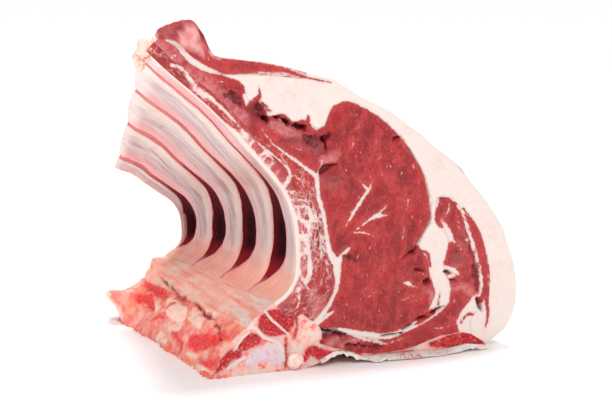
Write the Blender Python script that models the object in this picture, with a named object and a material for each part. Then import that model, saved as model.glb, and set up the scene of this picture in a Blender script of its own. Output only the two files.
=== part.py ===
"""Raw rack of lamb from the shoulder end, standing on the sawn side of its backbone.

The near cut is the plane Y = low end, +Y runs along the backbone, +X points to the outside of the
fat and +Z is up. Every piece is drawn in one section, the near cut, and lofted along Y through the
same taper, so that neighbours keep one even gap from end to end.
"""

import bmesh
import bpy
import numpy as np

MM = 0.001

# Driving dimensions, in millimetres
DEPTH = 104.0  # near cut to far cut, along the backbone
RIB_PITCH = 27.0  # one vertebra and one rib
FIRST_SPACE = 14.0  # middle of the space behind the first rib
RIB_COUNT = 5
WALL = 5.6  # thickness of the rib wall at the roots
WALL_AT_TIPS = 4.0
SPACE_ENDS = 1.3  # half width of a space between ribs at the tips and at the roots
SPACE_MIDDLE = 4.1  # half width of that space where it is widest
WIDEST_AT = 0.2  # where it is widest, as a share of the way from root to tip
WIDE_STRETCH = 0.16  # how far that wide stretch reaches, on the same scale
SEAM_GAP = 0.5  # clearance between pieces that touch
STEP = 5.5  # length of one segment of an outline
FLAP_SEGMENTS = 8
SPLINE_STEPS = 8  # straight steps between two points of a seam before it is evened out
SHARPEST = 0.5  # a corner's inset is at most the gap divided by this
STATIONS = 9  # sections in each loft
RINGS = 17  # rings along a rib

# Taper from the near cut to the far one
STEADY_HEIGHT = 28.0  # below this height the section keeps its height
RIB_DROP = 0.48  # share of its height that the rib wall loses
BACK_DROP = 0.24  # share of its height that the fat side loses
NARROWING = 0.19  # share of its width that the whole section loses
RIB_SIDE, FAT_SIDE = 20.0, 85.0  # widths between which the one drop turns into the other
TRIM = 0.72  # share of their upper length that the ribs lose
TRIM_EASE = 10.0  # length over which that trimming sets in
TRIM_FROM = np.array([14.0, 83.0])  # where on the wall the trimming starts
UP_THE_WALL = np.array([-1.0, 1.0]) / np.sqrt(2.0)
TAPER_POWER = 1.6

COLLECTION = "rack_of_lamb"

# The section at the near cut, as seams of (x, z) in millimetres. Each seam is used by both of the
# pieces that meet on it.
INSIDE_OF_RIBS = [
    (25.5, 26), (30.5, 29.5), (33.5, 34.5), (34.3, 40), (34.2, 46), (33.6, 53), (32, 59.5), (28.5, 67),
    (21.5, 75.6), (14.5, 83.5), (8, 91.2), (1.6, 97.6), (-5.7, 104), (-15, 111.8), (-22, 118.5),
]
CHINE_FACE = [(1, 0), (4.5, 7.5), (9, 13.5), (15, 18.3), (20.5, 22.8), (25.5, 26)]
CHINE_BACK = [(31.4, 0), (31.6, 9), (33.8, 15), (34, 20)]
CONNECTIVE_TOP = [(36.5, 21), (39.5, 18.5), (42.3, 17)]
FEATHER_TOP = [
    (43.5, 9.3), (50, 7), (58, 4.6), (66, 3.4), (74, 3.4), (82, 4.4), (91, 6.8), (101, 8), (107, 6.8),
]
EYE_LEFT = [(42.3, 71.2), (43, 64), (44.8, 58), (46.2, 50), (47.6, 43), (50.4, 38.6)]
EYE_UNDER = [
    (50.4, 38.6), (54.5, 41.5), (58, 38.5), (62.3, 36), (69, 34.6), (75, 37.3), (80, 40.3), (83.4, 43.4),
]
EYE_RIGHT_LOW = [(83.4, 43.4), (89, 52), (88.9, 57)]
EYE_RIGHT_HIGH = [(88.9, 57), (87.6, 64), (85.2, 71), (79, 80.6), (74.6, 85.6)]
EYE_TOP = [(74.6, 85.6), (69, 90.6), (61, 95.6), (54, 98), (48.5, 96), (45.4, 89.8)]
EYE_INSIDE = [(45.4, 89.8), (45.6, 84), (44, 78), (42.3, 71.2)]
SEAM_LOW = [(50.4, 38.6), (50.6, 31), (48.6, 25.4), (45.2, 20.5), (42.3, 17)]
SEAM_UP = [(18.2, 87.2), (24.5, 84.4), (31, 79.6), (37, 75.2), (42.3, 71.2)]
RAGGED = [
    (45.4, 89.8), (42, 88.6), (38, 92), (31.5, 91.6), (25, 94), (19.6, 99.6), (15.5, 100), (13.4, 106),
    (5.6, 109.4),
]
FLAP_UNDER = [(5.6, 109.4), (-1, 112), (-6.6, 115.6), (-10.4, 120), (-14.2, 122)]
BAND_UNDER = [(5.6, 109.4), (21, 108.8), (37.6, 106.8)]
BAND_OVER = [(38.2, 109), (30, 111.3), (21, 113.3), (9, 114.9), (2.6, 116.2)]
FLAP_CURLED = [(2.6, 116.2), (0.3, 119.6), (-2, 125), (-6, 129.3), (-12, 129), (-18, 125.8), (-14.2, 122)]
FLAP_FLAT = [(2.6, 116.2), (-0.2, 117), (-3, 118.2), (-6, 120), (-9, 122.4), (-12.6, 124), (-14.2, 122)]
FLAP_REACH = 30.0  # how far along the backbone the flap stays curled up
TIP_BLOCK = [(-14.2, 122), (-16.6, 123.4)]
FAT_OUTSIDE = [
    (38.2, 109), (48, 106), (59, 100), (72, 94), (82, 86.5), (91, 80), (102, 72), (110, 62), (119, 50),
    (124, 39), (127, 26), (126, 14), (121, 6), (114, 2.4),
]
CAP_OUTSIDE = [
    (92, 60.6), (98, 60), (103, 54.6), (108, 50), (112, 42), (114.2, 31), (113.6, 21), (107, 12.6),
    (107, 6.8),
]
CAP_INSIDE = [
    (43.6, 12.4), (52, 12), (62, 9.8), (72, 8.2), (82, 11.2), (90, 14.4), (96.4, 19), (97.8, 26),
    (94.8, 33.4), (95.6, 38), (97, 43), (95.6, 46.8), (91.2, 51), (91.2, 56), (92, 60.6),
]
LOIN_FOOT = [(42.3, 17), (44, 14.6)]
LOIN_UNDER = [
    (44, 14.6), (52, 14.2), (62, 12), (72, 10.4), (82, 13.4), (88.6, 17.4), (91.4, 24), (89, 31), (88, 37),
    (83.4, 43.4),
]

# Round a strip of the rib wall: the share of the way across it and the share of the way through it
WALL_BACK = 0.94  # share of the wall that the strips fill, short of the muscle behind them
RIB_PROFILE = [
    (0.0, WALL_BACK), (0.0, 0.5), (0.16, 0.14), (0.5, 0.0), (0.84, 0.14), (1.0, 0.5), (1.0, WALL_BACK),
    (0.5, WALL_BACK),
]
NEAR_RIB_PROFILE = [(0.0, WALL_BACK), (0.0, 0.0), (0.4, 0.0), (0.8, 0.14), (1.0, 0.5), (1.0, WALL_BACK)]
FAR_RIB_PROFILE = [(1.0 - across, through) for across, through in NEAR_RIB_PROFILE[::-1]]
SPACE_PROFILE = [(0.0, WALL_BACK), (0.0, 0.5), (0.5, 0.66), (1.0, 0.5), (1.0, WALL_BACK)]

# Finishes, as colour and roughness
RED_MEAT = ((0.42, 0.045, 0.048), 0.4)
DARK_MEAT = ((0.24, 0.02, 0.025), 0.4)
PALE_MEAT = ((0.62, 0.2, 0.18), 0.45)
FAT = ((0.93, 0.78, 0.70), 0.5)
PLEURA = ((0.66, 0.42, 0.40), 0.35)
BONE = ((0.72, 0.28, 0.22), 0.6)


def smooth_step(value, low, high):
    """0 below low, 1 above high, and an S between them."""
    share = np.clip((value - low) / (high - low), 0.0, 1.0)
    return share * share * (3.0 - 2.0 * share)


def spline(points, count):
    """A Catmull-Rom curve through the points, as count + 1 points evenly spaced along it."""
    knots = np.asarray(points, float)
    padded = np.vstack([2 * knots[0] - knots[1], knots, 2 * knots[-1] - knots[-2]])
    share = np.arange(SPLINE_STEPS)[:, None] / SPLINE_STEPS
    dense = []
    for before, start, end, after in zip(padded, padded[1:], padded[2:], padded[3:]):
        cubic = 3 * start - before - 3 * end + after
        square = 2 * before - 5 * start + 4 * end - after
        dense.append(0.5 * (2 * start + (end - before) * share + square * share**2 + cubic * share**3))
    dense = np.vstack(dense + [knots[-1:]])
    reached = np.concatenate([[0.0], np.cumsum(np.linalg.norm(np.diff(dense, axis=0), axis=1))])
    wanted = np.linspace(0.0, reached[-1], count + 1)
    return np.column_stack([np.interp(wanted, reached, dense[:, axis]) for axis in (0, 1)])


def seam(points):
    """The spline of a seam, cut into segments of about STEP."""
    length = np.linalg.norm(np.diff(np.asarray(points, float), axis=0), axis=1).sum()
    return spline(points, max(1, round(length / STEP)))


def taper(points, depth):
    """Where points of the near section lie in the section at this depth.

    The ribs' upper part is shortened along the wall, then heights above STEADY_HEIGHT shrink, more at
    the ribs than at the fat, and the widths shrink.
    """
    across, height = np.asarray(points, float).T
    share = np.asarray(depth, float) / DEPTH
    growth = share**TAPER_POWER
    from_start = np.column_stack([across, height]) - TRIM_FROM
    up_wall = np.maximum(from_start @ UP_THE_WALL, 0.0)
    cut = TRIM * share * up_wall**2 / (up_wall + TRIM_EASE)
    across = across - cut * UP_THE_WALL[0]
    height = height - cut * UP_THE_WALL[1]
    drop = RIB_DROP + (BACK_DROP - RIB_DROP) * smooth_step(across, RIB_SIDE, FAT_SIDE)
    height = height - growth * drop * np.maximum(height - STEADY_HEIGHT, 0.0)
    return np.column_stack([across * (1.0 - NARROWING * growth), height])


def closed_outline(*seams):
    """Seams joined end to end into one closed outline, counter-clockwise, with no point twice."""
    points = np.vstack([part[:-1] for part in seams])
    ahead = np.roll(points, -1, axis=0)
    area = (points[:, 0] * ahead[:, 1] - points[:, 1] * ahead[:, 0]).sum()
    return points if area > 0 else points[::-1]


def inset(outline, amount):
    """The outline moved inwards by amount, and a little more at its sharp corners."""
    along = np.roll(outline, -1, axis=0) - outline
    along /= np.linalg.norm(along, axis=1)[:, None]
    inward = np.column_stack([-along[:, 1], along[:, 0]])
    corner = inward + np.roll(inward, 1, axis=0)
    corner /= np.maximum(np.linalg.norm(corner, axis=1), 1e-9)[:, None]
    spread = np.maximum((corner * inward).sum(axis=1), SHARPEST)
    return outline + corner * (amount / spread)[:, None]


def material(name, colour, roughness):
    """A Principled material with a plain colour."""
    made = bpy.data.materials.new(name)
    made.use_nodes = True
    shader = made.node_tree.nodes["Principled BSDF"]
    shader.inputs["Base Color"].default_value = (*colour, 1.0)
    shader.inputs["Roughness"].default_value = roughness
    shader.inputs["Metallic"].default_value = 0.0
    return made


def add_piece(name, rings, finish):
    """A closed solid through rings of equally many (x, y, z) points, with its two ends filled."""
    mesh = bmesh.new()
    levels = [[mesh.verts.new(point * MM) for point in ring] for ring in rings]
    for lower, upper in zip(levels, levels[1:]):
        for here, ahead, over, above in zip(lower, lower[1:] + lower[:1], upper[1:] + upper[:1], upper):
            mesh.faces.new((here, ahead, over, above))
    mesh.faces.new(levels[0][::-1])
    mesh.faces.new(levels[-1])
    bmesh.ops.recalc_face_normals(mesh, faces=mesh.faces[:])
    bmesh.ops.triangulate(mesh, faces=mesh.faces[:])
    data = bpy.data.meshes.new(name)
    mesh.to_mesh(data)
    mesh.free()
    data.materials.append(material(name, *finish))
    made = bpy.data.objects.new(name, data)
    bpy.data.collections[COLLECTION].objects.link(made)
    return made


def at_depth(section, depth):
    """Points of a section as (x, y, z) at that depth."""
    flat = taper(section, depth)
    depths = np.broadcast_to(np.asarray(depth, float), len(flat))
    return np.column_stack([flat[:, 0], depths, flat[:, 1]])


def loft(name, outline, finish, far_outline=None):
    """A piece that runs through the rack from the near cut to the far one."""
    near = inset(outline, SEAM_GAP / 2)
    far = near if far_outline is None else inset(far_outline, SEAM_GAP / 2)
    rings = []
    for depth in np.linspace(0.0, DEPTH, STATIONS):
        share = smooth_step(depth, 0.0, FLAP_REACH)
        rings.append(at_depth(near + (far - near) * share, depth))
    return add_piece(name, rings, finish)


def wall_surfaces():
    """The inside and the outside of the rib wall, root to tip, with points that face each other."""
    inside = spline(INSIDE_OF_RIBS, 2 * (RINGS - 1))
    along = np.gradient(inside, axis=0)
    along /= np.linalg.norm(along, axis=1)[:, None]
    outward = np.column_stack([along[:, 1], -along[:, 0]])
    thickness = np.linspace(WALL, WALL_AT_TIPS, len(inside))
    return inside, inside + outward * thickness[:, None]


def half_space(share):
    """Half the width of the space between two ribs, at a share of the way from root to tip."""
    belly = np.exp(-(((share - WIDEST_AT) / WIDE_STRETCH) ** 2))
    return SPACE_ENDS + (SPACE_MIDDLE - SPACE_ENDS) * belly


def wall_strip(name, limits, profile, finish):
    """A strip of the rib wall, root to tip.

    limits gives its low and high depth at a share of the way along. profile lists, round the strip, the
    share of the way across its width and the share of the way through the wall.
    """
    inside, outside = wall_surfaces()
    across, through = np.array(profile).T
    clear_of_the_root = (inside[1] - inside[0]) * SEAM_GAP / np.linalg.norm(inside[1] - inside[0])
    rings = []
    for index in range(0, len(inside), 2):
        low, high = limits(index / (len(inside) - 1))
        section = inside[index] + (outside[index] - inside[index]) * through[:, None]
        if index == 0:
            section = section + clear_of_the_root
        rings.append(at_depth(section, low + (high - low) * across))
    return add_piece(name, rings, finish)


def add_ribs():
    """Ribs between the spaces, and the muscle in each space."""
    for number in range(RIB_COUNT):
        low = FIRST_SPACE + (number - 1) * RIB_PITCH
        high = low + RIB_PITCH
        profile = RIB_PROFILE
        if number == 0:
            profile = NEAR_RIB_PROFILE
        elif number == RIB_COUNT - 1:
            profile = FAR_RIB_PROFILE

        def rib_limits(share, low=low, high=high):
            near = 0.0 if low < 0 else low + half_space(share)
            far = DEPTH if high > DEPTH else high - half_space(share)
            return near, far

        wall_strip(f"rib_{number + 1}", rib_limits, profile, PLEURA)

    for number in range(RIB_COUNT - 1):
        middle = FIRST_SPACE + number * RIB_PITCH

        def space_limits(share, middle=middle):
            width = half_space(share) - SEAM_GAP
            return middle - width, middle + width

        wall_strip(f"rib_space_{number + 1}", space_limits, SPACE_PROFILE, DARK_MEAT)


def add_bones():
    """The sawn backbone, and the feather bones with their connective tissue along the bottom."""
    inside, outside = wall_surfaces()
    chine_top = np.array([CHINE_BACK[-1], outside[0], inside[0]])
    backbone = closed_outline(
        seam([CHINE_FACE[0], CHINE_BACK[0]]), seam(CHINE_BACK), chine_top, seam(CHINE_FACE)[::-1]
    )
    loft("backbone", backbone, BONE)
    feather = closed_outline(
        seam(CHINE_BACK)[::-1],
        seam([CHINE_BACK[0], (114, 0)]),
        np.array([(114, 0), FAT_OUTSIDE[-1], FEATHER_TOP[-1]]),
        seam(FEATHER_TOP)[::-1],
        np.array([FEATHER_TOP[0], CAP_INSIDE[0], LOIN_FOOT[1], LOIN_FOOT[0]]),
        seam(CONNECTIVE_TOP)[::-1],
        np.array([CONNECTIVE_TOP[0], CHINE_BACK[-1]]),
    )
    loft("feather_bones", feather, BONE)


def add_muscles():
    """The muscles of the cut face, each from end to end."""
    _, outside = wall_surfaces()
    split = int(np.argmin(np.linalg.norm(outside - SEAM_UP[0], axis=1)))
    split -= split % 2
    low_wall = outside[: split + 1 : 2]
    high_wall = outside[split::2]
    seam_up = seam([outside[split]] + SEAM_UP[1:])

    eye = closed_outline(
        seam(EYE_LEFT),
        seam(EYE_UNDER),
        seam(EYE_RIGHT_LOW),
        seam(EYE_RIGHT_HIGH),
        seam(EYE_TOP),
        seam(EYE_INSIDE),
    )
    loft("eye_muscle", eye, RED_MEAT)

    loin = closed_outline(np.array(LOIN_FOOT), seam(LOIN_UNDER), seam(EYE_UNDER)[::-1], seam(SEAM_LOW))
    loft("loin_muscle", loin, RED_MEAT)

    cap_foot = np.array([FEATHER_TOP[0], CAP_INSIDE[0]])
    cap = closed_outline(seam(CAP_INSIDE), seam(CAP_OUTSIDE), seam(FEATHER_TOP)[::-1], cap_foot)
    loft("cap_muscle", cap, RED_MEAT)

    inner = closed_outline(
        low_wall,
        seam_up,
        seam(EYE_LEFT),
        seam(SEAM_LOW),
        seam(CONNECTIVE_TOP)[::-1],
        np.array([CONNECTIVE_TOP[0], CHINE_BACK[-1], low_wall[0]]),
    )
    loft("inner_muscle", inner, PALE_MEAT)

    flat = closed_outline(
        np.vstack([high_wall, TIP_BLOCK[-1]]),
        np.array(TIP_BLOCK)[::-1],
        seam(FLAP_UNDER)[::-1],
        seam(RAGGED)[::-1],
        seam(EYE_INSIDE),
        seam_up[::-1],
    )
    loft("flat_muscle", flat, RED_MEAT)

    band_end = np.array([BAND_UNDER[-1], BAND_OVER[0]])
    shared = [seam(FLAP_UNDER)[::-1], seam(BAND_UNDER), band_end, seam(BAND_OVER)]
    loft(
        "top_muscle",
        closed_outline(*shared, spline(FLAP_CURLED, FLAP_SEGMENTS)),
        PALE_MEAT,
        closed_outline(*shared, spline(FLAP_FLAT, FLAP_SEGMENTS)),
    )


def add_fat():
    """The fat over the back, its wedge under the top muscle, and the branch of it that runs in between
    the muscles of the cut face."""
    wedge = closed_outline(seam(RAGGED), seam(BAND_UNDER), np.array([BAND_UNDER[-1], EYE_TOP[-1]]))
    loft("fat_wedge", wedge, FAT)
    fat = closed_outline(
        np.array([EYE_TOP[-1], BAND_UNDER[-1], BAND_OVER[0]]),
        seam(FAT_OUTSIDE),
        np.array([FAT_OUTSIDE[-1], CAP_OUTSIDE[-1]]),
        seam(CAP_OUTSIDE)[::-1],
        np.array([CAP_OUTSIDE[0], EYE_RIGHT_HIGH[0]]),
        seam(EYE_RIGHT_HIGH),
        seam(EYE_TOP),
    )
    loft("fat_cap", fat, FAT)
    branch = closed_outline(
        np.array([CAP_INSIDE[0], LOIN_UNDER[0]]),
        seam(LOIN_UNDER),
        seam(EYE_RIGHT_LOW),
        np.array([EYE_RIGHT_LOW[-1], CAP_INSIDE[-1]]),
        seam(CAP_INSIDE)[::-1],
    )
    loft("fat_branch", branch, FAT)


def centre_on_the_ground():
    """Moves the meshes so that the origin is under the middle of the whole, at its lowest height."""
    pieces = bpy.data.collections[COLLECTION].objects
    points = np.array([vertex.co for piece in pieces for vertex in piece.data.vertices])
    low, high = points.min(axis=0), points.max(axis=0)
    shift = -np.array([(low[0] + high[0]) / 2, (low[1] + high[1]) / 2, low[2]])
    for piece in pieces:
        for vertex in piece.data.vertices:
            vertex.co = np.array(vertex.co) + shift


def main():
    for old in list(bpy.data.objects):
        bpy.data.objects.remove(old, do_unlink=True)
    bpy.context.scene.collection.children.link(bpy.data.collections.new(COLLECTION))
    add_bones()
    add_ribs()
    add_muscles()
    add_fat()
    centre_on_the_ground()


main()
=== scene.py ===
"""Raw rack of lamb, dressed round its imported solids.

Shapes are drawn in one section, the near cut, as (x, z) in millimetres, and carried along the backbone
through one taper, so that neighbouring pieces share their seams. ORIGIN is where the part's own origin
lies in that section.
"""

import bpy
import numpy as np
from bpy.props import FloatProperty, FloatVectorProperty, PointerProperty
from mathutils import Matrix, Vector


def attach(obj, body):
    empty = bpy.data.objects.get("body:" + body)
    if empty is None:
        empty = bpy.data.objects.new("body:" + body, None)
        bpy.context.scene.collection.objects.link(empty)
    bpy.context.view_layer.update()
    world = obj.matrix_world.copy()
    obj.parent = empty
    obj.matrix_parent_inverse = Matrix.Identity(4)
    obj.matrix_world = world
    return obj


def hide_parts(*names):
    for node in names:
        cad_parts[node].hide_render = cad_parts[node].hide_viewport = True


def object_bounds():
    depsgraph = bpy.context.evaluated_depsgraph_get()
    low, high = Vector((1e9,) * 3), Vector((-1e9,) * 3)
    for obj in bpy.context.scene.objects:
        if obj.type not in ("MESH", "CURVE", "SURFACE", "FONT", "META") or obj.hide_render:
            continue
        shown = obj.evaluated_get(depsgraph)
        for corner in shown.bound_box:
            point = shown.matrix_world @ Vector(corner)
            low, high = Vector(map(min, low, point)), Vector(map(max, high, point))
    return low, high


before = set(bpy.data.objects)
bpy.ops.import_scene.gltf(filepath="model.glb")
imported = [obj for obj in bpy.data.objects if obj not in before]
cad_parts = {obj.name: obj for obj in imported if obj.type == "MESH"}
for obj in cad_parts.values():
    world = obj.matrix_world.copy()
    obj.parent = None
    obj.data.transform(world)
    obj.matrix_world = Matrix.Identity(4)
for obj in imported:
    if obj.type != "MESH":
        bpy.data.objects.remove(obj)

CAD_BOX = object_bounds()

bl_info = {
    "name": "Rack of lamb",
    "version": (1, 0, 0),
    "blender": (4, 5, 0),
    "location": "View3D > Sidebar > Lamb",
    "description": "Builds a raw rack of lamb with its cut face, ribs, chine bone and fat",
    "category": "Add Mesh",
}

MM = 0.001
ORIGIN = np.array([52.43, 52.0, 0.25])  # x, depth and z of the part's origin in the section, in mm
DEPTH = (CAD_BOX[1].y - CAD_BOX[0].y) / MM  # near cut to far cut

# The taper from the near cut to the far one, as the solids have it
STEADY_HEIGHT = 28.0  # heights below this, in mm, stay as they are
RIB_DROP, BACK_DROP = 0.48, 0.24  # share of the height above it that is lost at the ribs and at the fat
RIB_SIDE, FAT_SIDE = 20.0, 85.0  # the x values, in mm, between which one turns into the other
NARROWING = 0.19  # share of the width that is lost
TRIM, TRIM_EASE = 0.72, 10.0  # how much the ribs' upper part shortens, and how softly that sets in
TRIM_FROM = np.array([14.0, 83.0])  # where on the wall it sets in
UP_THE_WALL = np.array([-1.0, 1.0]) / np.sqrt(2.0)
TAPER_POWER = 1.6
FLAP_REACH = 30.0  # depth in mm within which the curled flap flattens and the lifted edge settles

# The rib wall
WALL, WALL_AT_TIPS = 5.6, 4.0  # its thickness in mm
WALL_COUNT = 200  # points along it
RIB_PITCH, FIRST_SPACE, RIB_COUNT = 27.0, 14.0, 5
SPACE_ENDS, SPACE_MIDDLE = 1.3, 6.1  # half the width of a space at its ends and where it is widest
RIB_EDGE, SPACE_FLOOR = 0.3, 0.62  # how far through the wall a rib's edge and a space's floor lie
WIDEST_AT, WIDE_STRETCH = 0.2, 0.16  # shares of the way from root to tip
ROOT_SWEEP, BELLY_SWEEP = 9.0, 3.2  # how far the ribs bend back at their roots and where spaces are wide
RIB_CELLS, SPACE_CELLS, CELLS_THROUGH = 44, 16, 3  # cells of a strip, across it and through the wall
LAST_START, LAST_END = 1.4, 1.0  # how near the far cut a strip may start and end

# Cuts and surfaces, in mm
FADE = 8.0  # the relief of a cut dies out within this
SKIN_FROM = 0.8  # the look of a cut ends within this
NEAR_STATIONS = np.array([0.0, 0.35, 0.8, 1.5])  # depths of the first points behind a cut
EVEN_FROM = 2.4  # the depth past which points are evenly spaced
SHARP_ANGLE = 58.0  # degrees between two faces past which the edge between them stays sharp
OUTSIDE = -4.0  # what a field of strokes says well away from them
CRUMBS, CRUMBS_AT_FRONT = 64, 40  # crumbs of bone in all, and those of them beside the near cut

# The camera, 24 degrees to the left of the cut face and 9 degrees above the floor
CAMERA_TARGET = (-0.01663, -0.0571, 0.06205)
CAMERA_TURN, CAMERA_RISE = 24.0, 9.0
SENSOR_WIDTH = 36.0  # mm

# The floor and the lights
FLOOR_REACH = 30.0  # m
LAMPS = [  # name, place from the middle of the rack and size in m, and power in W
    ("key", (-0.14, -0.8, 0.62), 0.3, 4.2),
    ("fill", (0.8, -0.5, 0.3), 0.4, 0.8),
    ("side", (-0.95, 0.0, 0.5), 0.5, 2.3),
    ("back", (0.5, 0.9, 0.4), 0.5, 2.2),
]
SUN_DIRECTION = (-0.08, -0.2, -1.0)
SUN_POWER, SUN_ANGLE = 2.1, 0.3
ROOM_LIGHT = 0.4  # how strongly the white room lights the rack; the camera sees it at full strength

# Seams of the near section
INSIDE_OF_RIBS = [
    (25.5, 26), (30.5, 29.5), (33.5, 34.5), (34.3, 40), (34.2, 46), (33.6, 53), (32, 59.5), (28.5, 67),
    (21.5, 75.6), (14.5, 83.5), (8, 91.2), (1.6, 97.6), (-5.7, 104), (-15, 111.8), (-22, 118.5),
]
CHINE_FACE = [(1, 0), (4.5, 7.5), (9, 13.5), (15, 18.3), (20.5, 22.8), (25.5, 26)]
CHINE_BACK = [(31.4, 0), (31.6, 9), (33.8, 15), (34, 20)]
CONNECTIVE_TOP = [(34, 20), (36.5, 21), (39.5, 18.5), (42.3, 17)]
FEATHER_TOP = [
    (43.5, 9.3), (50, 7), (58, 4.6), (66, 3.4), (74, 3.4), (82, 4.4), (91, 6.8), (101, 8), (107, 6.8),
]
EYE_LEFT = [(50.4, 38.6), (47.6, 43), (46.2, 50), (44.8, 58), (43, 64), (42.3, 71.2)]
EYE_UNDER = [
    (50.4, 38.6), (54.5, 41.5), (58, 38.5), (62.3, 36), (69, 34.6), (75, 37.3), (80, 40.3), (83.4, 43.4),
]
EYE_RIGHT_LOW = [(83.4, 43.4), (89, 52), (88.9, 57)]
EYE_RIGHT_HIGH = [(88.9, 57), (87.6, 64), (85.2, 71), (79, 80.6), (74.6, 85.6)]
EYE_TOP = [(45.4, 89.8), (48.5, 96), (54, 98), (61, 95.6), (69, 90.6), (74.6, 85.6)]
EYE_INSIDE = [(42.3, 71.2), (44, 78), (45.6, 84), (45.4, 89.8)]
SEAM_LOW = [(42.3, 17), (45.2, 20.5), (48.6, 25.4), (50.6, 31), (50.4, 38.6)]
SEAM_UP = [(18.2, 87.2), (24.5, 84.4), (31, 79.6), (37, 75.2), (42.3, 71.2)]
RAGGED = [
    (45.4, 89.8), (42, 88.6), (38, 92), (31.5, 91.6), (25, 94), (19.6, 99.6), (15.5, 100), (13.4, 106),
    (5.6, 109.4),
]
FLAP_UNDER = [(5.6, 109.4), (-1, 112), (-6.6, 115.6), (-10.4, 120), (-14.2, 122)]
BAND_UNDER = [(37.6, 106.8), (21, 108.8), (5.6, 109.4)]
BAND_OVER = [(38.2, 109), (30, 111.3), (21, 113.3), (9, 114.9), (2.6, 116.2)]
FLAP_CURLED = [
    (2.6, 116.2), (0.3, 119.6), (-2, 124.6), (-6, 128.6), (-12, 128), (-18, 125.2), (-14.5, 122.3),
]
FLAP_FLAT = [(2.6, 116.2), (-0.2, 117), (-3, 118.2), (-6, 120), (-9, 122.4), (-12.6, 124), (-14.5, 122.3)]
TIP_BLOCK = [(-16.6, 123.4), (-14.2, 122)]
FAT_OUTSIDE = [
    (38.2, 109), (48, 106), (59, 100), (72, 94), (82, 86.5), (91, 80), (102, 72), (110, 62), (119, 50),
    (124, 39), (127, 26), (126, 14), (121, 6), (114, 2.4),
]
CAP_OUTSIDE = [
    (98, 60), (103, 54.6), (108, 50), (112, 42), (114.2, 31), (113.6, 21), (107, 12.6), (107, 6.8),
]
CAP_INSIDE = [
    (43.6, 12.4), (52, 12), (62, 9.8), (72, 8.2), (82, 11.2), (90, 14.4), (96.4, 19), (97.8, 26),
    (94.8, 33.4), (95.6, 38), (97, 43), (95.6, 46.8), (91.2, 51), (91.2, 56), (92, 60.6),
]
LOIN_FOOT = [(42.3, 17), (44, 14.6)]
LOIN_BELOW = [(44, 14.6), (52, 14.2), (62, 12), (72, 10.4), (82, 13.4), (88.6, 17.4)]
LOIN_RIGHT = [(88.6, 17.4), (91.4, 24), (89, 31), (88, 37), (83.4, 43.4)]

# Lines and patches on the cut face, each a run of (x, z, half width)
WHITE_LINES = [
    [(42.3, 71.2, 1.2), (43, 64, 1.0), (44.8, 58, 1.0), (46.2, 50, 0.9), (47.6, 43, 1.3),
     (50.4, 38.6, 1.9)],
    [(50.4, 38.6, 1.9), (50.6, 31, 1.1), (48.6, 25.4, 0.8), (45.2, 20.5, 1.1), (42.3, 17, 1.6),
     (39, 15.6, 1.4)],
    [(50.4, 38.6, 1.7), (52.6, 41.2, 1.0), (55, 43.4, 0.6), (57, 44.4, 0.1)],
    [(39.7, 16.1, 1.4), (44, 17.4, 0.9), (47, 19.4, 0.8), (49.4, 20.8, 0.4)],
    [(24.5, 84.4, 0.5), (31, 79.6, 0.8), (37, 75.2, 0.9), (42.3, 71.2, 1.2)],
    [(42.3, 71.2, 1.0), (43.6, 74.2, 0.6), (44.4, 77.5, 0.3)],
    [(-14.2, 122, 0.9), (-10.4, 120, 1.1), (-6.6, 115.6, 1.3), (-1, 112, 1.4), (5.6, 109.8, 0.9)],
]
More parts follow.
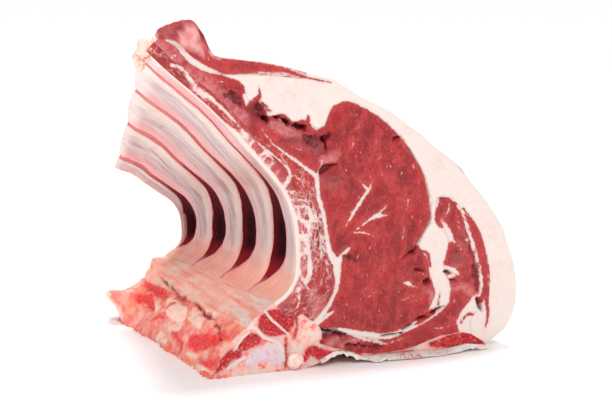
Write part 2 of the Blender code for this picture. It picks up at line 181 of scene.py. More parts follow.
STRIP_VEINS = [
    [(-13, 113.4, 0.5), (-9.6, 112.2, 0.8), (-7, 109.4, 0.8), (-5, 106.4, 0.75), (-2.4, 103.8, 0.9),
     (1, 101.6, 0.9),
     (3, 99.8, 0.7), (5.2, 97.8, 0.7), (7.5, 95.8, 0.6), (10, 93, 0.45), (12.5, 90.2, 0.4), (15, 87.8, 0.5),
     (17.6, 86, 0.4), (20, 84.2, 0.4), (22, 82.6, 0.5), (24, 80.8, 0.8), (27, 78.6, 0.6), (29, 76.6, 0.6),
     (31, 74.6, 0.8), (31.6, 72, 0.9), (30.8, 70, 0.8), (29.4, 68, 0.6), (28.6, 66.6, 0.5)],
    [(12.8, 86, 0.3), (13.4, 87, 0.45), (14.6, 88, 0.3)],
    [(15.8, 83, 0.3), (16.8, 84.4, 0.45), (17.6, 85.8, 0.35)],
    [(20, 79, 0.3), (21.4, 80.6, 0.45), (22.6, 82, 0.5)],
    [(20.6, 77.2, 0.3), (21.8, 79.2, 0.3), (23.8, 79.8, 0.35), (25, 78.8, 0.4)],
    [(23.2, 75, 0.5), (24.6, 76.4, 0.35), (25, 78, 0.4)],
    [(20.2, 90.8, 0.15), (21.2, 89, 0.35), (22.2, 87.4, 0.4), (24.5, 85, 0.45)],
    [(27.6, 78.4, 0.3), (28.6, 80, 0.3), (29.8, 81, 0.2)],
    [(29.4, 77, 0.3), (30.6, 78, 0.25), (32, 78.8, 0.3)],
    [(31.2, 75.4, 0.4), (32.6, 76.6, 0.3), (33.4, 77.4, 0.3)],
    [(31.6, 73.6, 0.5), (33.6, 74, 0.25), (35.4, 73, 0.4), (37, 73.4, 0.5)],
    [(31.6, 71.4, 0.6), (33.6, 72.4, 0.45), (34.6, 71, 0.5), (37, 70.4, 0.35)],
    [(36.8, 73, 0.4), (37.2, 71, 0.3), (36.6, 69, 0.3), (37.4, 67.4, 0.25)],
    [(30.6, 66.6, 0.4), (33.6, 66, 0.3), (36.4, 65.6, 0.35), (38.2, 66.8, 0.2)],
    [(34.6, 69.2, 0.3), (36.4, 66.8, 0.3), (37.4, 64.4, 0.4), (38.4, 62, 0.45)],
    [(34.6, 63.2, 0.3), (36.6, 63, 0.4), (38.6, 62, 0.4)],
    [(39.2, 69.4, 0.25), (39.5, 66, 0.3), (39.4, 63.4, 0.3), (39, 61, 0.4)],
    [(31, 63, 0.3), (32.6, 63.2, 0.3), (34, 61, 0.3)],
    [(33.8, 61, 0.4), (35.6, 60.6, 0.4), (37.6, 60.6, 0.6), (39, 59.8, 0.8), (39.8, 57.4, 1.0),
     (40, 55.6, 0.9)],
    [(40.6, 62, 0.3), (41.4, 59, 0.3), (42.2, 57, 0.25), (43, 55.6, 0.4)],
    [(34, 57, 0.8), (35.6, 56.2, 0.7), (37.6, 54.8, 0.7), (41, 54.9, 0.8), (43.6, 54.8, 0.35),
     (45, 54.4, 0.5)],
    [(36, 58.6, 0.25), (37.4, 57.4, 0.3), (38.8, 58.2, 0.5)],
    [(38, 53.8, 0.5), (39.4, 53.2, 1.2), (39.4, 51.4, 0.6), (40.4, 49.8, 0.5)],
    [(33, 50.2, 0.8), (36, 49.7, 0.8), (38, 49.9, 0.6), (40.6, 50, 0.4)],
    [(33.2, 47.2, 0.6), (35, 46.4, 0.3), (36.6, 47, 0.4), (37.5, 48.4, 0.6), (37.8, 49.6, 0.5)],
    [(39.4, 50, 0.45), (39.7, 47.5, 0.45), (39.4, 45, 0.4), (39.7, 42.8, 0.4), (39.6, 41, 0.8),
     (39.7, 38.4, 1.2),
     (39.7, 36, 1.1), (39.2, 34, 0.7), (38.4, 32.2, 0.4)],
    [(34.2, 44.8, 0.6), (35.4, 43, 0.5), (37, 42.8, 0.45), (38, 44, 0.4), (37.5, 45.6, 0.4)],
    [(35.4, 42, 0.5), (35.3, 39, 0.5), (35.9, 36, 0.4), (37, 33.6, 0.5), (38.2, 31.6, 0.5),
     (38.8, 30.2, 0.4)],
    [(40.4, 44.8, 0.15), (42.2, 43.2, 0.25), (44, 41.6, 0.2), (46, 39.6, 0.3), (47.4, 38.4, 0.3)],
    [(46.2, 39, 0.2), (46.6, 36.4, 0.45), (47, 34.4, 0.2)],
    [(44, 34, 0.2), (44.3, 32.2, 0.4), (43.6, 30.4, 0.25)],
    [(37.6, 30.6, 0.4), (39.6, 29.6, 0.35), (41.4, 29.4, 0.15)],
    [(35.8, 32, 0.3), (35.3, 29, 0.6), (35.4, 26, 0.5), (34.6, 23.4, 0.4)],
    [(36.2, 23.6, 0.2), (37.4, 22.8, 0.3), (38, 21.4, 0.1)],
]
# Dark red flesh beside the film of the first rib, as (x, z, half width)
RIB_RED = [
    [(-13, 111.6, 0.3), (-10.4, 109.6, 0.9), (-8, 107.4, 1.0), (-5.6, 104.8, 0.4)],
    [(-21, 118.6, 0.5), (-19, 115.8, 0.5), (-16.6, 113.2, 0.5), (-14.6, 111.6, 0.3)],
    [(-1, 101, 0.2), (3, 97, 0.4), (7, 93, 0.35), (10, 90, 0.2)],
]
MARBLING = [
    [(65.2, 68.4, 0.3), (63.4, 65.4, 0.7), (60.6, 61.6, 0.9), (57.6, 57.4, 0.8), (55.3, 54.2, 0.5),
     (53.4, 51.4, 0.2)],
    [(59.4, 68.9, 0.2), (61, 67, 0.4), (63, 65.4, 0.6)],
    [(71.4, 59.4, 0.2), (68.8, 57, 0.5), (65.6, 55, 0.8), (62, 52.8, 0.5), (58, 50.4, 0.3)],
    [(70.6, 55.2, 0.5), (67.4, 55, 0.9), (65, 54.2, 0.6)],
    [(57, 49.4, 0.3), (60, 49.4, 0.4), (63, 48.6, 0.35), (66.4, 46.9, 0.25)],
    [(79.8, 60.6, 0.3), (79.4, 58.4, 0.35), (79.2, 56.4, 0.2)],
    [(77.5, 53.8, 0.2), (77.9, 49.6, 0.3), (77.2, 45.2, 0.2)],
    [(73.4, 66, 0.25), (72.6, 64.6, 0.25)],
    [(58.8, 90.4, 0.2), (59.2, 88.6, 0.3), (58.2, 87.6, 0.2)],
    [(56.2, 83.6, 0.2), (56.8, 82, 0.25), (56.2, 81, 0.2)],
    [(68.4, 77.2, 0.2), (67, 76.2, 0.25), (66.6, 75.4, 0.15)],
    [(63.2, 24.6, 0.25), (64.4, 25.6, 0.4), (66.6, 26.6, 0.2)],
    [(68.8, 34.6, 0.3), (70, 35.2, 0.15)],
    [(78.2, 28.9, 0.5), (79.8, 28.7, 1.0), (81.6, 27.6, 0.55), (83.8, 26.8, 0.3)],
    [(83.4, 32.6, 0.25), (85.6, 32, 0.4), (87.4, 30.6, 0.35)],
    [(4, 106.8, 0.25), (5.6, 106.9, 0.35), (7.2, 106.6, 0.2)],
    [(-13.6, 115.2, 0.3), (-11.6, 116.4, 0.45), (-10, 116.2, 0.2)],
    [(31, 82.8, 0.15), (34.6, 81.6, 0.25), (38.6, 80.2, 0.15)],
    [(93.6, 8, 0.15), (92.8, 9.4, 0.25), (93.8, 10.8, 0.1)],
    [(77, 22.4, 0.2), (82, 23.6, 0.2), (86.4, 23.4, 0.15)],
    [(79.4, 20.6, 0.15), (83.4, 21.8, 0.2), (86, 22, 0.15)],
    [(96, 59.4, 0.2), (97, 57, 0.3), (96.6, 55, 0.6), (95, 52.4, 0.4)],
    [(98.6, 43.8, 0.3), (101, 41.4, 0.35), (103.4, 38.2, 0.3), (105.8, 36.6, 0.3), (107, 33, 0.3),
     (105, 29.6, 0.3)],
    [(100.6, 52.6, 0.3), (101.4, 47.8, 0.3), (104.2, 43.6, 0.3), (105.8, 41, 0.2)],
    [(97, 33.2, 0.8), (99.4, 32.6, 0.7), (101.6, 33.6, 0.4)],
    [(56, 9.6, 0.3), (63, 8.2, 0.35), (70, 6.4, 0.3), (78, 7.8, 0.3)],
    [(90, 10.6, 0.25), (96, 10.4, 0.3), (102, 13.4, 0.25)],
]
STRIP_SEAM = [
    [(100, 57.4, 0.4), (102.6, 53.6, 0.7), (104.2, 49.6, 0.8), (105.8, 45.4, 0.9), (107.4, 41, 0.9),
     (109, 37, 0.9),
     (110.2, 32, 0.9), (111.2, 27.4, 0.9), (111, 24, 0.8), (110.6, 21.4, 0.5)],
]
OUTER_STRIP = [
    [(103, 55.4, 0.4), (106, 50.6, 1.1), (109.6, 44, 1.3), (111.6, 38, 1.5), (113, 32, 1.5),
     (113.6, 26, 1.3),
     (113.6, 20, 1.0), (114.2, 14, 0.7), (113.4, 9, 0.4)],
]
MEAT_IN_FAT = [
    [(83.4, 39.6, 0.4), (85.8, 40.3, 0.6), (88, 39.2, 0.7), (88.8, 36.6, 0.5), (89.2, 34.4, 0.2)],
    [(37, 107.5, 0.45), (40, 106.8, 0.35), (44, 105.9, 0.25), (48, 105, 0.1)],
    [(17, 99, 1.0), (19.4, 100.6, 1.1), (19.9, 102.4, 0.6), (19.8, 104.6, 0.15)],
    [(20.6, 98.6, 0.9), (23, 97.4, 0.25)],
    [(22, 96.6, 0.7), (25, 95.6, 0.15)],
    [(26, 93.6, 0.7), (29, 93.8, 0.8), (31.6, 92, 0.7)],
    [(38.6, 91, 0.9), (38.9, 92.6, 0.7), (39, 93.6, 0.2)],
    [(83, 12.6, 0.3), (85.4, 14, 1.2), (88.6, 16, 1.5), (91.6, 17.6, 1.0)],
    [(68.4, 13.6, 0.4), (68.6, 12.4, 0.5), (68.4, 11, 0.3)],
    [(92.6, 19.4, 0.4), (93.6, 24.4, 0.2)],
]
FAT_IN_MEAT = [
    [(14.8, 101.4, 1.0), (15.2, 99.6, 0.9), (15, 98.4, 0.2)],
    [(23.6, 95, 0.8), (24.8, 94.2, 0.4)],
    [(33.6, 92, 0.4), (35, 92.2, 0.3)],
    [(41.4, 90, 1.2), (42.2, 88.8, 0.6)],
    [(91.2, 61.4, 1.6), (91.6, 57.4, 0.5)],
    [(98.6, 60.6, 1.6), (101.6, 57.6, 0.9)],
    [(93.8, 52, 0.4), (95.6, 49, 0.8), (97.2, 46, 1.1), (98.6, 43.6, 0.5)],
    [(96.6, 33, 1.0), (98.2, 32.4, 0.9), (100.4, 31, 0.7), (101.4, 30, 0.3)],
    [(96.8, 29.4, 0.8), (98.6, 30.2, 0.7)],
    [(54.6, 12.2, 0.4), (58.6, 10.4, 0.5), (62.6, 8.8, 0.4), (66, 8, 0.3), (70, 6.8, 0.3)],
    [(60, 10.2, 0.3), (64, 9.6, 0.4), (67.6, 8.4, 0.3)],
]
# Pinker flesh under a film
FLUSHED = [
    [(40, 27, 1.2), (42.6, 24.4, 2.4), (42, 19.6, 2.4)],
    [(14, 92.6, 1.4), (6, 100.4, 2.4), (0, 106.4, 2.6), (-6, 111.4, 2.0)],
    [(44.6, 77, 1.0), (47.4, 77.8, 1.6), (50.4, 78.6, 0.8)],
    [(24.6, 91, 1.0), (28.6, 89.4, 2.0), (33.6, 88, 1.4)],
    [(99.6, 25, 1.4), (103, 25.6, 1.5), (106, 23.6, 1.4), (108.4, 21.6, 0.6)],
    [(86.6, 25.8, 0.9), (89.4, 24.6, 1.2), (90, 20.8, 1.2)],
    [(52, 7.2, 0.7), (54.4, 8.7, 0.8), (57, 8.8, 0.8), (59.6, 7.4, 0.5)],
    [(-18, 119, 3.0), (-13.6, 117.6, 3.2), (-9.6, 115, 1.0)],
    [(6.6, 98.6, 1.0), (10, 97, 1.2), (14.4, 94.4, 1.0)],
    [(45.6, 7, 0.8), (48.6, 9.4, 1.2), (51, 11, 0.6)],
    [(34, 58, 1.6), (36, 48, 1.8), (37, 42, 1.0)],
]
BAND_RED = [
    [(-8, 119, 2.2), (-3, 114.6, 2.9), (3, 112.4, 2.6), (8, 112.2, 2.5), (14, 111.9, 2.1), (20, 111.4, 1.6),
     (25, 110.9, 1.1), (30, 110, 0.8), (33, 109, 0.6), (36, 107.9, 0.5), (39, 106.9, 0.4)],
]
FLAP_LINE = [
    [(-13.8, 121.6, 0.5), (-12.4, 123.6, 0.7), (-10, 125.6, 0.8), (-7, 127, 0.7), (-4, 126.8, 0.5),
     (-2.2, 124.6, 0.2)],
]
TRIANGLE_FAT = [
    [(109.2, 22.6, 0.2), (107.6, 18.6, 1.6), (105.6, 13.6, 3.6), (105.4, 10.4, 4.2)],
    [(109.8, 17, 1.2), (110.6, 12, 2.6), (110, 9, 2.4)],
]
TRIANGLE_RED = [
    [(102.8, 11.4, 0.5), (104, 13.4, 0.5), (106, 14.5, 0.6), (108.2, 14.2, 0.6), (108.4, 12.6, 0.5),
     (107, 11, 0.3)],
]
FLAP_FILM = [
    [(-8, 120.6, 2.0), (-6.6, 123.4, 3.4), (-5.4, 125.2, 2.4)],
    [(-6, 121, 2.6), (-3.4, 119, 2.0), (-1.4, 118, 1.2)],
]
# Openings in the cut face, whose depth is painted as shade, and painted shadow lines along the eye's rim,
# each a run of (x, z, half width)
SLITS_AND_SHADOW_LINES = [
    [(44.2, 85.2, 0.6), (46, 85.1, 1.2), (47.2, 86.6, 0.6)],
    [(45.6, 83.4, 0.5), (45.8, 81.6, 0.7), (46.4, 80.4, 0.3)],
    [(43.8, 72.4, 0.5), (45.2, 74, 1.1), (48, 75, 0.7), (50.6, 75.3, 0.1)],
    [(72.9, 83, 0.2), (73.8, 83.6, 0.6), (76, 84, 0.3), (77.4, 82.6, 0.1)],
    [(82.4, 33.8, 0.3), (84.4, 33.4, 0.5), (86.4, 32.7, 0.2)],
    [(86.3, 28.9, 0.4), (88, 28.8, 0.9), (89, 29.8, 0.4)],
    [(89.6, 16.5, 0.1), (92, 17.3, 0.65), (95, 18.5, 0.4)],
    [(82.8, 14.3, 0.2), (85, 14.9, 0.6), (87.8, 15.3, 0.2)],
    [(78, 11.2, 0.4), (80, 12.2, 0.6), (81.6, 13.2, 0.3)],
    [(68.6, 9.5, 0.1), (73, 9.7, 0.4), (77.6, 9.9, 0.4)],
    [(44, 14.4, 0.5), (47, 13.6, 0.5), (50.6, 12.2, 0.4), (54.2, 11.6, 0.3)],
    # Painted shadow lines where the eye stands over the loin and the fat
    [(74, 37, 0.0), (77, 38.6, 0.12), (80, 40.5, 0.3), (82, 41, 0.6), (83.6, 43.4, 0.3), (86, 47.4, 0.1)],
    [(79, 80.6, 0.0), (85.2, 71, 0.1), (87.8, 64, 0.15), (89, 57, 0.15), (89, 52, 0.15), (85.6, 46.6, 0.1)],
    [(95, 31.9, 0.3), (96.4, 31.8, 0.6), (97.2, 31.4, 0.2)],
    [(98, 28.6, 0.3), (99.6, 28.4, 0.4)],
    [(109.2, 21.6, 0.2), (110.4, 18.4, 0.9), (112, 15, 0.4)],
    [(25.6, 93.5, 0.1), (28.4, 93, 0.45), (30.6, 91.6, 0.7), (31.4, 91.2, 0.2)],
    [(32.8, 90.3, 0.2), (34.4, 89.8, 0.5), (37, 89.6, 0.6)],
    [(21.6, 93.4, 0.6), (22.8, 92.4, 0.7)],
    [(53, 7.2, 0.1), (55.6, 7.8, 0.25), (58.4, 6.9, 0.1)],
]
# Dark, dried and torn flesh along the top of the flat muscle
DARK_FLESH = [
    [(7, 102.4, 0.8), (10, 101.6, 1.9), (12.6, 99.8, 1.5)],
    [(16.2, 97.4, 0.7), (19, 97.4, 1.6), (20.8, 95.4, 1.6), (22.4, 93.2, 1.2)],
    [(25, 93.6, 0.4), (28.4, 93.2, 0.9), (31, 91.4, 1.0)],
    [(32.6, 90.4, 0.5), (35, 89.9, 0.9), (37.4, 89.7, 0.8)],
    [(37.4, 85.6, 0.8), (39.4, 84.4, 1.5), (42.6, 85, 1.3), (44.6, 84.6, 1.0)],
    [(44.4, 11.4, 0.8), (47, 13, 1.2), (52, 12, 1.0)],
    [(59, 7.4, 0.5), (62, 6.4, 0.9), (66, 5.6, 0.9), (70, 4.9, 0.5)],
    [(105.4, 41, 0.4), (107.8, 37.6, 1.0), (108.6, 33, 1.1), (109, 27, 1.1), (109.6, 23.6, 0.8)],
    [(53.4, 41.2, 0.5), (55.6, 40.4, 0.8), (57.4, 39.6, 0.4)],
]
WET = [
    [(38, 82.4, 1.8), (42.4, 81.6, 2.2)],
    [(44.6, 70, 1.6), (47.6, 68.6, 2.2), (52, 68.6, 1.0)],
    [(47, 8.6, 1.6), (52, 9.4, 1.0)],
    [(100.6, 36, 3.4), (103.4, 46, 2.6)],
    [(31, 87, 1.6), (38, 85, 1.8)],
]
# On the sawn end of the backbone
MARROW = [
    [(22.4, 18.8, 3.4), (24.6, 18.6, 4.9), (28.6, 18.4, 4.6), (30, 18.4, 3.6)],
    [(13, 10.6, 1.6), (16, 12.8, 2.8), (18.4, 12.6, 2.0)],
    [(5.6, 6, 1.6), (9, 8.2, 2.2), (11.4, 8, 1.4)],
    [(3, 3, 1.0), (6.4, 5, 1.2)],
    [(30.1, 1.6, 0.5), (30.2, 7, 0.55), (30, 12.4, 0.5)],
    [(37.6, 3.6, 0.9), (40, 6.8, 1.8), (45, 4.6, 2.2), (52, 3, 1.4)],
    [(90, 4.2, 1.0), (99, 4.6, 2.8), (107, 4.4, 2.8), (111.6, 3.6, 1.6)],
    [(60, 1.4, 0.3), (70, 1.6, 0.5), (82, 2.4, 0.5)],
    [(31, 24.4, 0.4), (33.4, 21, 0.7), (34.6, 17, 0.6), (33.4, 12.6, 0.6)],
]
CORTEX = [
    [(21.5, 23.7, 0.35), (24.2, 20.2, 0.45), (27.4, 17.2, 0.4), (30.9, 14, 0.35)],
    [(15.2, 17.7, 0.4), (17.9, 17.4, 0.5), (21.4, 13.7, 0.6), (26.1, 11.4, 0.5), (28.4, 9, 0.5),
     (29.3, 4.4, 0.6)],
    [(9.8, 9.8, 0.4), (12.6, 13.8, 0.5), (15.6, 16, 0.4)],
    [(7.6, 3.6, 0.6), (10.6, 5.2, 0.7), (14, 7, 0.6)],
]
# The lower edge of the near cut, which is lifted between the backbone and the feather bones' ends
BOTTOM_EDGE = [
    (31.4, 0), (37, 0.2), (43, 1.8), (48.4, 4.3), (53.5, 4.6), (58, 2.9), (62, 1), (67, 0.2), (74, 0),
     (86, 0),
    (96, 0.5), (105, 1.5), (114, 2.1),
]
LIFT = 1.5  # by how many mm, at most
# On the sawn face of the backbone, as (depth, height up the face, half width)
SAWN_LENGTH = 36.0
CRACK = [
    [(92, 25.4, 0.5), (85, 23.4, 0.9), (74, 22.7, 1.0), (61, 21.2, 0.8), (50, 21.2, 0.9), (41, 20, 0.8),
     (32, 19.8, 1.0), (24, 19, 0.9), (18, 17.4, 1.1), (13, 14.6, 0.6), (8, 13.6, 0.2)],
    [(21, 21, 0.3), (18.6, 19, 0.8), (17, 16, 0.6), (15, 11.4, 0.4)],
    [(84, 23, 0.6), (82, 17, 0.7), (84, 11, 0.4)],
]
BLOODY = [
    [(103, 26, 3.0), (97, 21.6, 3.4), (89, 20.4, 3.2), (80, 18.4, 2.6), (72, 18.6, 1.6)],
    [(93, 12, 1.8), (85, 13.4, 2.4), (78, 11, 1.6)],
    [(73, 7, 1.0), (66, 10.6, 1.6), (61, 14.6, 1.4), (58, 16.6, 0.8)],
    [(31, 8.4, 1.6), (24, 9, 3.4), (17, 11, 3.6), (10, 14.4, 2.6), (5, 16, 1.2)],
    [(16, 3.6, 1.2), (8, 4.4, 1.6), (1, 6.4, 1.4)],
    [(48, 8, 1.0), (40, 6, 1.6), (34, 3.4, 1.2)],
]
LUMPS = [
    [(66, 17.4, 2.0), (57, 15.8, 3.4), (49, 14.6, 3.0)],
    [(44, 18, 1.6), (38, 16.6, 2.8), (31, 15.6, 2.6)],
    [(41, 22.6, 1.2), (35, 22.2, 1.7), (28, 21.6, 1.6)],
    [(76, 14, 1.4), (72, 12, 2.0)],
    [(52, 9, 1.6), (45, 11, 2.2)],
    [(60, 3, 1.6), (50, 3, 1.8)],
    [(26, 3, 1.8), (20, 3.4, 1.4)],
    [(15, 1, 1.4), (6, 1.2, 1.6), (0, 2, 1.4)],
    [(104, 8, 2.0), (98, 4, 2.2)],
]
CARTILAGE = [
    [(15.4, 4.6, 1.6), (19.6, 6.8, 3.0), (24.4, 7.6, 3.4), (26.4, 5.4, 2.8)],
    [(34, 3.2, 2.2), (37, 3, 1.4)],
]


def linear(red, green, blue):
    """A colour of 0 to 255 steps as the linear numbers that shaders take."""
    steps = np.array([red, green, blue]) / 255.0
    return tuple(np.where(steps <= 0.04045, steps / 12.92, ((steps + 0.055) / 1.055) ** 2.4))


def colour(name, description, red, green, blue):
    """A colour that the panel shows, given in steps of 0 to 255."""
    return FloatVectorProperty(
        name=name, description=description, subtype="COLOR", size=3, min=0.0, max=1.0,
        default=linear(red, green, blue),
    )


def length(name, description, default):
    """A length in metres that the panel shows."""
    return FloatProperty(
        name=name, description=description, default=default, min=0.0, unit="LENGTH", precision=5
    )


class LambSizes(bpy.types.PropertyGroup):
    grain: length("Grain", "Distance between points of a cut face", 0.0005)
    bulge: length("Bulge", "How far the muscles stand out of the cut between their seams", 0.0009)
    slit: length("Slit", "How deep the openings in the cut face are", 0.0022)
    torn: length("Torn", "How far the dark torn flesh lies back", 0.001)
    tips: length("Tips", "How far the ends of the ribs stand past the meat between them", 0.0014)
    saw: length("Saw marks", "How rough the sawn face of the backbone is", 0.0013)
    lens: FloatProperty(
        name="Lens", description="Focal length of the camera in mm", default=105.0, min=20.0
    )
    distance: length("Distance", "From the camera to the point that it looks at", 0.64)


class LambColours(bpy.types.PropertyGroup):
    meat: colour("Meat", "Flesh of the large muscles", 160, 30, 36)
    bright: colour("Bright meat", "Flesh near the rim of a muscle", 198, 62, 60)
    deep: colour("Deep meat", "Darkest stretches of the flesh", 130, 20, 28)
    pale_fibre: colour("Fibre ends", "Palest fibre ends in the flesh", 208, 96, 94)
    # Painted shade: the colour of the depth of slits and of the deepest torn hollows
    painted_shade: colour("Dark meat", "The depth of slits", 92, 12, 24)
    torn: colour("Torn meat", "Dried and torn flesh", 108, 20, 34)
    fat: colour("Fat", "Cut fat", 230, 214, 207)
    clean_tissue: colour("Tissue", "White tissue along the lower edge", 255, 246, 236)
    seam: colour("Seam", "Thin tissue between muscles", 226, 200, 194)
    blush: colour("Blush", "Pink stain in the fat", 240, 178, 166)
    skin: colour("Skin", "Outside of the fat", 232, 214, 205)
    rib: colour("Rib", "Middle of a rib under its film", 176, 144, 143)
    # Painted shade on the lower middle of the far ribs
    rib_shade: colour("Deep rib", "Shaded middle of the far ribs", 128, 84, 86)
    # Partly the rib's own pale border and partly a painted highlight along its ridge
    rib_edge_and_highlight: colour("Rib edge", "Pale border of a rib", 222, 200, 190)
    rib_flush: colour("Rib flush", "Pink border of a rib", 224, 128, 128)
    # Painted shade: the muscle in a wide space between ribs is painted deep brownish red, and the deepest
    # part nearly black
    space: colour("Space", "Muscle in a wide space between ribs", 88, 40, 44)
    pit_shade: colour("Pit", "Deepest part of a space between ribs", 36, 0, 6)
    crimson: colour("Crimson", "Flesh at the root of a space between ribs", 146, 12, 34)
    space_thin: colour("Thin space", "Muscle in a narrow space between ribs", 196, 92, 96)
    bone: colour("Bone", "Sawn bone", 255, 182, 162)
    pale_bone: colour("Pale bone", "Palest bone and gristle", 255, 224, 206)
    raw_bone: colour("Raw bone", "Pink raw bone", 250, 112, 104)
    bone_red: colour("Red bone", "Blood in sawn bone", 244, 40, 42)
    marrow: colour("Marrow", "Spongy red marrow", 232, 36, 48)
    cartilage: colour("Cartilage", "Bluish cartilage", 226, 208, 220)
    salmon: colour("Salmon", "Streaks in the fat at the roots of the ribs", 255, 142, 112)
    film: colour("Film", "Lilac film on the curled flap", 232, 150, 152)
    floor: colour("Floor", "The floor", 255, 255, 255)


def smooth_step(value, low, high):
    """0 below low, 1 above high, and an S between them."""
    share = np.clip((value - low) / (high - low), 0.0, 1.0)
    return share * share * (3.0 - 2.0 * share)


# Curves and patches -------------------------------------------------------------------------------


def dense(points, steps=12):
    """A Catmull-Rom curve through points of any dimension: each stretch is the cubic that passes its two
    ends with slopes taken from their neighbours."""
    knots = np.asarray(points, float)
    padded = np.vstack([2 * knots[0] - knots[1], knots, 2 * knots[-1] - knots[-2]])
    share = np.arange(steps)[None, :, None] / steps
    before, start, end, after = (padded[i : len(padded) - 3 + i, None] for i in range(4))
    cubic = 3 * start - before - 3 * end + after
    square = 2 * before - 5 * start + 4 * end - after
    run = 0.5 * (2 * start + (end - before) * share + square * share**2 + cubic * share**3)
    return np.vstack([run.reshape(-1, knots.shape[1]), knots[-1:]])


def joined(*lines):
    """Lines end to end, with no point twice in a row."""
    points = np.vstack(lines)
    kept = np.linalg.norm(np.diff(points, axis=0), axis=1) > 1e-6
    return points[np.concatenate([[True], kept])]


def reach(line):
    """The distance along a line to each of its points."""
    return np.concatenate([[0.0], np.cumsum(np.linalg.norm(np.diff(line, axis=0), axis=1))])


def even(line, count):
    """count + 1 points, evenly spaced along a line."""
    travelled = reach(line)
    wanted = np.linspace(0.0, travelled[-1], count + 1)
    return np.column_stack([np.interp(wanted, travelled, part) for part in line.T])


def patch(left, right, bottom, top, grain):
    """A Coons patch: the surface ruled between left and right plus the one ruled between bottom and top,
    less the plane through the four corners. It comes as a grid of (x, z)."""
    up = max(2, round(max(reach(left)[-1], reach(right)[-1]) / grain))
    over = max(2, round(max(reach(bottom)[-1], reach(top)[-1]) / grain))
    ends = np.vstack([left[0] - bottom[0], left[-1] - top[0], right[0] - bottom[-1], right[-1] - top[-1]])
    if np.abs(ends).max() > 1e-6:
        raise ValueError("The sides of a patch don't meet at its corners")
    left, right = even(left, up)[None], even(right, up)[None]
    bottom, top = even(bottom, over)[:, None], even(top, over)[:, None]
    u = np.linspace(0.0, 1.0, over + 1)[:, None, None]
    v = np.linspace(0.0, 1.0, up + 1)[None, :, None]
    corners = (1 - u) * ((1 - v) * left[:, :1] + v * left[:, -1:]) + u * (
        (1 - v) * right[:, :1] + v * right[:, -1:]
    )
    return (1 - u) * left + u * right + (1 - v) * bottom + v * top - corners


def taper(points, depth):
    """Where points of the near section lie at each depth: the ribs' upper part shortens along the wall,
    heights shrink more at the ribs than at the fat, and widths shrink."""
    share = np.clip(depth / DEPTH, 0.0, None)
    growth = share**TAPER_POWER
    up_wall = np.maximum((points - TRIM_FROM) @ UP_THE_WALL, 0.0)
    cut = TRIM * share * up_wall**2 / (up_wall + TRIM_EASE)
    across = points[:, 0] - cut * UP_THE_WALL[0]
    height = points[:, 1] - cut * UP_THE_WALL[1]
    drop = RIB_DROP + (BACK_DROP - RIB_DROP) * smooth_step(across, RIB_SIDE, FAT_SIDE)
    height = height - growth * drop * np.maximum(height - STEADY_HEIGHT, 0.0)
    return np.column_stack([across * (1.0 - NARROWING * growth), depth, height])


def noise(points, size, seed=0):
    """Value noise from -1 to 1: random numbers on a lattice of this size in mm, eased between its
    corners."""
    scaled = points / size + 37.7 * seed
    cell = np.floor(scaled).astype(np.int64)
    part = scaled - cell
    ease = part**3 * (part * (part * 6.0 - 15.0) + 10.0)
    total = np.zeros(len(points))
    for corner in np.ndindex(2, 2, 2):
        key = (cell + corner) @ np.array([374761393, 668265263, 1442695041])
        key = (key ^ (key >> 13)) * 1274126177 & 0xFFFFFFFF
        value = ((key ^ (key >> 16)) & 0xFFFF) / 32767.5 - 1.0
        total += value * np.prod(np.where(corner, ease, 1.0 - ease), axis=1)
    return total


def rough(points, size, octaves, seed=0):
    """Layers of noise, each half the size and half the height of the one before."""
    return sum(noise(points, size / 2**n, seed + n) / 2**n for n in range(octaves))


def inside_of(places, strokes):
    """How far inside the nearest stroke each place lies, in mm: the stroke's half width there less the
    distance to its middle line, and so negative outside."""
    flat = places.reshape(-1, 2)
    best = np.full(len(flat), -99.0)
    for stroke in strokes:
        line = dense(stroke, 5)
        start, step = line[:-1, :2], np.diff(line[:, :2], axis=0)
        square = np.maximum((step**2).sum(1), 1e-9)
        share = np.clip(((flat[:, None] - start) * step).sum(2) / square, 0.0, 1.0)
        gap = np.linalg.norm(flat[:, None] - start - share[..., None] * step, axis=2)
        half = line[:-1, 2] + share * np.diff(line[:, 2])
        best = np.maximum(best, (half - gap).max(axis=1))
    return best.reshape(places.shape[:-1])


def stroke_fields(places, named):
    """For each name, how far inside its strokes the places lie, held to OUTSIDE and its opposite."""
    return {name: np.clip(inside_of(places, runs), OUTSIDE, -OUTSIDE) for name, runs in named.items()}


def flat_run(points):
    """A seam as a stroke of no width."""
    return [(x, z, 0.0) for x, z in points]


def flat_places(grid):
    """Section places as points in space, for noise that both sides of a seam share."""
    flat = grid.reshape(-1, 2)
    return np.column_stack([flat, np.zeros(len(flat))])


# Meshes -------------------------------------------------------------------------------------------


def shell(counts):
    """The outside of a box of cells: the three counters of each point, and its squares."""
    shape = tuple(count + 1 for count in counts)
    places = np.indices(shape).reshape(3, -1)
    last = np.array(counts)[:, None]
    outside = ((places == 0) | (places == last)).any(axis=0)
    number = np.full(len(outside), -1)
    number[outside] = np.arange(outside.sum())
    number = number.reshape(shape)
    squares = []
    for axis in range(3):
        for end, turned in ((0, axis != 1), (counts[axis], axis == 1)):
            sheet = number.take(end, axis=axis)
            corners = [sheet[:-1, :-1], sheet[1:, :-1], sheet[1:, 1:], sheet[:-1, 1:]]
            square = np.stack(corners, -1).reshape(-1, 4)
            squares.append(square[:, ::-1] if turned else square)
    return places[:, outside], np.vstack(squares)


def point_normals(points, squares):
    """Normals of the points, from the diagonals of the squares round each."""
    a, b, c, d = (points[squares[:, i]] for i in range(4))
    face = np.cross(c - a, d - b)
    total = np.zeros_like(points)
    for corner in squares.T:
        for axis in range(3):
            total[:, axis] += np.bincount(corner, face[:, axis], len(points))
    return total / np.maximum(np.linalg.norm(total, axis=1), 1e-12)[:, None]


def outward(points, squares):
    """The squares, all turned round if the volume that they enclose is negative."""
    a, b, c, d = (points[squares[:, i]] for i in range(4))
    volume = (a * np.cross(b, c) + a * np.cross(c, d)).sum()
    return squares if volume > 0 else squares[:, ::-1]


